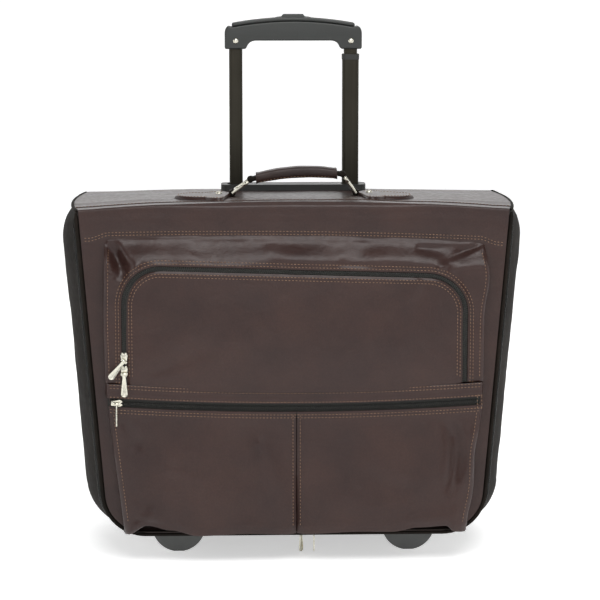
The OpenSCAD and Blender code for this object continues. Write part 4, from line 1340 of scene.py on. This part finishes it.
grip_plastic = moulded("moulded_abs_grey_black", "#1f211f", "#2b2d2b", 0.36)
button_plastic = moulded("moulded_abs_button", "#2a2c2a", "#383b38", 0.32)
grip_low, grip_high = span("grip_body")
cap_low, cap_high = span("grip_cap")
grip_x, grip_y = (grip_low.x + grip_high.x) / 2, (grip_low.y + grip_high.y) / 2
grip_reach = (grip_high.x - grip_low.x) / 2
grip_deep = grip_high.y - grip_low.y
cap_reach = (cap_high.x - cap_low.x) / 2
cap_t = cap_high.z - grip_high.z
grip_drop = 9
leg_w = 27
bar_z = 626.5


def grip_top(x):
    return cap_high.z - grip_drop * (x / grip_reach) ** 2


leg_in = grip_reach - leg_w
shell = [(-grip_reach, grip_low.z), (-grip_reach, grip_top(grip_reach) - 9),
         (-grip_reach + 1.6, grip_top(grip_reach) - 4.5), (-grip_reach + 5, grip_top(grip_reach) - 1.4)]
shell += [(x, grip_top(x) - cap_t) for x in steps(-cap_reach, cap_reach, 20)]
shell += [(-x, z) for x, z in reversed(shell[1:4])] + [(grip_reach, grip_low.z), (leg_in, grip_low.z)]
shell += [(leg_in - 2, grip_low.z + 5), (leg_in - 5, bar_z - 2), (leg_in - 10, bar_z), (-leg_in + 10, bar_z),
          (-leg_in + 5, bar_z - 2), (-leg_in + 2, grip_low.z + 5), (-leg_in, grip_low.z)]


def carve(made, low, high):
    """Cuts a box-shaped well out of a piece, for a part that slides in it."""
    bm = bmesh.new()
    bmesh.ops.create_cube(bm, size=1.0)
    bmesh.ops.scale(bm, verts=bm.verts, vec=(high - low) / 1000)
    bmesh.ops.translate(bm, verts=bm.verts, vec=(high + low) / 2000)
    cutter = piece("cutter", bm)
    well = made.modifiers.new("well", "BOOLEAN")
    well.object = cutter
    well.solver = "EXACT"
    settle(made, 40)
    bpy.data.objects.remove(cutter)


button_low, button_high = span("release_button")
gap = Vector((0.5, 0.5, 0))
well_low = Vector((button_low.x, button_low.y, button_low.z - 6.5)) - gap
well_high = Vector((button_high.x, button_high.y, button_high.z + 10)) + gap
body = bmesh.new()
plate(body, shell, grip_deep, 4.2, at(grip_x, grip_y, 0), segments=4)
body = piece("grip_shell", body, grip_plastic, sharp=40)
carve(body, well_low, well_high)
belongs(body, "grip", "grip", "grip_body")
cap_line = [(x, grip_top(x)) for x in steps(-cap_reach, cap_reach, 24)]
cap_line += [(x, grip_top(x) - cap_t + 0.3) for x in steps(cap_reach, -cap_reach, 24)]
cap = bmesh.new()
plate(cap, cap_line, grip_deep - 0.8, 1.9, at(grip_x, grip_y, 0), segments=3)
cap = piece("grip_cap_shell", cap, grip_plastic, sharp=40)
carve(cap, well_low, well_high)
belongs(cap, "grip", "grip", "grip_cap")

key_half, key_top, key_low = (button_high.x - button_low.x) / 2, button_high.z, button_low.z
key_line = [(-key_half, key_low), (-key_half, key_top - 5.5), (-key_half + 5, key_top - 3.6),
            (-15, key_top - 3.2), (-12.5, key_top), (12.5, key_top), (15, key_top - 3.2),
            (key_half - 5, key_top - 3.6), (key_half, key_top - 5.5), (key_half, key_low)]
key = bmesh.new()
plate(key, key_line, button_high.y - button_low.y, 0.9, at(grip_x, grip_y, 0), segments=3)
belongs(piece("release_button_cap", key, button_plastic, sharp=40), "button", "button", "release_button")

rivets = bmesh.new()
stud_low, stud_high = span("grip_rivets")
for side in (-1, 1):
    x = (stud_low.x + stud_high.x) / 2 + side * ((stud_high.x - stud_low.x) / 2 - 3.2)
    z = (stud_low.z + stud_high.z) / 2
    for face, y in ((90, stud_low.y), (-90, stud_high.y)):
        turned(rivets, ((0, 0.1), (1.2, 0.0), (2.3, -0.3), (3.2, -1.0), (3.2, -2.2), (0, -2.2)),
               at(x, y, z, ("X", face)), 24)
belongs(piece("grip_rivet_heads", rivets, nickel, sharp=40), "grip", "nickel", "grip_rivets")

# ------------------------------------------------------------------ runners, wheels and hardware
# The runners are moulded in tough grey-black polypropylene and are scuffed underneath. Each holds a
# wheel with a polyurethane tyre on a spoked nylon hub, on a steel axle.

runner_plastic = moulded("moulded_polypropylene_runner", "#3e3f3e", "#5c5d5b", 0.50, spark_mm=2.0,
                         bump=0.00016)
dress(runner_plastic, "runner_left", "runner_right")
zinc = brushed("zinc_plated_steel", "#8b8d8c", "#b4b5b0", 0.34, along=1)
dress(zinc, "runner_screws", "axles", "handle_plate")
coil_low, coil_high = span("button_spring")
coil_mid = (coil_low + coil_high) / 2
helix = []
for i in range(97):
    a = math.radians(15 * i)
    z = coil_low.z + 0.4 + (coil_high.z - coil_low.z - 0.8) * i / 96
    helix.append((coil_mid.x + 3.5 * math.cos(a), coil_mid.y + 3.5 * math.sin(a), z))
coil = tube("button_spring_wire", helix, 0.4, 8, zinc)
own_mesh(coil)
belongs(coil, "grip", "steel", "button_spring")
hub_plastic = moulded("moulded_nylon_hub", "#464847", "#5b5d5b", 0.40)
tyre_rubber = moulded("cast_polyurethane_tyre", "#1d1d1d", "#2e2e2d", 0.56, spark_mm=2.4, bump=0.0002)

for name in ("left", "right"):
    low, high = span(f"wheel_tyre_{name}")
    mid = (low + high) / 2
    half_w = (high.x - low.x) / 2
    hub_low, hub_high = span(f"wheel_hub_{name}")
    hub_r = (hub_high.z - hub_low.z) / 2
    turn_axle = at(*mid, ("Y", 90))
    tyre = bmesh.new()
    tread = [(hub_r - 0.4, -half_w), (wheel_r - 3.4, -half_w), (wheel_r - 1.2, -half_w + 0.9),
             (wheel_r - 0.2, -half_w + 3.2)]
    for groove in (-4, 4):
        tread += [(wheel_r, groove - 1.0), (wheel_r - 1.1, groove - 0.6), (wheel_r - 1.1, groove + 0.6),
                  (wheel_r, groove + 1.0)]
    tread += [(wheel_r - 0.2, half_w - 3.2), (wheel_r - 1.2, half_w - 0.9), (wheel_r - 3.4, half_w),
              (hub_r - 0.4, half_w), (hub_r - 0.4, -half_w)]
    turned(tyre, tread, turn_axle, 72)
    belongs(piece(f"tyre_{name}", tyre, tyre_rubber, sharp=40), f"wheel_{name}", "tyre",
            f"wheel_tyre_{name}")
    hub = bmesh.new()
    turned(hub, ((hub_r - 3.4, -half_w + 1), (hub_r, -half_w + 1), (hub_r, half_w - 1),
                 (hub_r - 3.4, half_w - 1), (hub_r - 3.4, -half_w + 1)), turn_axle, 64)
    turned(hub, ((3.1, -half_w + 1.4), (7.4, -half_w + 1.4), (8.2, -half_w + 2.2), (8.2, half_w - 2.2),
                 (7.4, half_w - 1.4), (3.1, half_w - 1.4), (3.1, -half_w + 1.4)), turn_axle, 32)
    turned(hub, ((7.8, -1.5), (hub_r - 3, -1.5), (hub_r - 3, 1.5), (7.8, 1.5), (7.8, -1.5)), turn_axle, 32)
    spoke = ((-1.5, 7.6), (-1.1, hub_r - 3), (1.1, hub_r - 3), (1.5, 7.6))
    for i in range(6):
        plate(hub, spoke, 2 * half_w - 5, 0.4, at(*mid, ("X", 60 * i), ("Z", 90)), segments=2)
    belongs(piece(f"hub_{name}", hub, hub_plastic, sharp=40), f"wheel_{name}", "hub", f"wheel_hub_{name}")

# ------------------------------------------------------------------ inside
# The case is lined with woven polyester over its fibre boards. A padded sleeve for a computer is sewn
# to the cover over the trolley and hangs inside.

fibre_board = moulded("pressed_fibre_board", "#3a342c", "#4c453a", 0.80, spark_mm=2.2, bump=0.0002)
dress(fibre_board, "stiffener_boards")
cover_low, cover_high = span("trolley_cover")


def lay_cover(u, v):
    z = cover_low.z + (cover_high.z - cover_low.z) * v
    x = (2 * u - 1) * (edge_half(z) - 12)
    return x, cover_low.y - 0.2 - 0.6 * ripple(x, z, 50, 8.1) * math.sin(math.pi * u), z


cover = piece("trolley_cover_cloth", grid(60, 40, lay_cover, out=(0, -1, 0)), lining, wall=1.6)
belongs(cover, "case", "lining", "trolley_cover")

sleeve_low, sleeve_high = span("laptop_sleeve")


def lay_pad(u, v):
    """A closed pillow: v runs up the front, over the open top, down the back and under the foot."""
    across = 2 * u - 1
    mid_x, mid_z = (sleeve_low.x + sleeve_high.x) / 2, (sleeve_low.z + sleeve_high.z) / 2
    up, deep = rounded(2 * math.pi * v, 1.0, 1.0, 0.5)
    half_z = (sleeve_high.z - sleeve_low.z) / 2
    half_y = (sleeve_high.y - sleeve_low.y) / 2
    soft = (1 - across**6) * 0.9 + 0.1
    channel = 1 - 0.10 * math.exp(-((((up * half_z + 200) % 64) - 32) / 5) ** 2)
    pull_in = 1 - 0.03 * math.cos(math.pi * up) * abs(across) ** 3
    x = mid_x + across * (sleeve_high.x - sleeve_low.x) / 2 * pull_in * (1 - 0.02 * abs(up))
    y = sleeve_high.y - half_y * (1 - deep * soft * channel * (0.78 + 0.16 * (1 - up * up)))
    return x, y - 1, mid_z + up * half_z * (1 - 0.012 * across * across)


pad = piece("laptop_sleeve_pad", grid(70, 72, lay_pad), lining, sharp=60)
belongs(pad, "case", "lining", "laptop_sleeve")

# ------------------------------------------------------------------ studio
# A round sweep of pale paper, two large soft lights at the front, a fill on each side and a light behind.
# The camera has a long lens and stands a little above the case.

paper, *paper_nodes = start("studio_paper", Roughness=0.9, Emission_Strength=0.50,
                            Emission_Color=(1.0, 1.0, 1.0, 1.0))
clouded(*paper_nodes, 400, "#f4f4f3", "#fafafa")

floor_r, floor_z, sweep_r, wall_top = 6000, -0.05, 2400, 5200
wall = [(0, floor_z), (floor_r, floor_z)]
for a in steps(0.1, math.pi / 2, 10):
    wall.append((floor_r + sweep_r * math.sin(a), sweep_r * (1 - math.cos(a)) + floor_z))
bowl = bmesh.new()
turned(bowl, wall + [(floor_r + sweep_r, wall_top)], at(0, 0, 0), 96)
# The wall is open behind the camera, so that the front keeps some contrast.
bowl_front = [f for f in bowl.faces if f.calc_center_median().z > 0 and f.calc_center_median().y < -3]
bmesh.ops.delete(bowl, geom=bowl_front, context="FACES")
# The floor runs on there, so that its edge stays out of view from behind.
turned(bowl, [(floor_r, floor_z), (2 * floor_r, floor_z)], at(0, 0, 0), 96)
piece("studio_floor", bowl, paper, sharp=180)


def light(name, spot, aim, size, watts):
    lamp = bpy.data.lights.new(name, "AREA")
    lamp.shape = "RECTANGLE"
    lamp.size, lamp.size_y = size
    lamp.energy = watts
    made = bpy.data.objects.new(name, lamp)
    made.location = spot
    made.rotation_euler = (Vector(aim) - Vector(spot)).to_track_quat("-Z", "Y").to_euler()
    bpy.context.scene.collection.objects.link(made)


light("key_softbox", (0.3, -1.6, 2.5), (0, 0, 0.3), (2.4, 1.4), 52)
light("front_softbox", (0.2, -4.6, 1.35), (0, 0, 0.35), (4.2, 1.4), 34)
light("fill_left", (-2.4, -1.2, 1.2), (0, 0, 0.3), (1.2, 1.6), 9)
light("fill_right", (2.4, -1.0, 1.2), (0, 0, 0.3), (1.2, 1.6), 7)
light("back_light", (0.0, 2.2, 2.2), (0, 0, 0.3), (2.0, 1.2), 16)

world = bpy.data.worlds.new("soft_room")
world.use_nodes = True
world.node_tree.nodes["Background"].inputs[0].default_value = linear("#f2f4f6")
world.node_tree.nodes["Background"].inputs[1].default_value = 0.26
bpy.context.scene.world = world
bpy.context.scene.view_settings.view_transform = "Standard"

camera_data = bpy.data.cameras.new("camera")
camera_data.lens = 136.4
camera_data.sensor_width = 36
camera = bpy.data.objects.new("camera", camera_data)
camera.location = (-0.081, -2.816, 0.750)
camera.rotation_euler = (math.radians(90 - 8.95), 0, math.radians(-1.85))
bpy.context.scene.collection.objects.link(camera)
bpy.context.scene.camera = camera
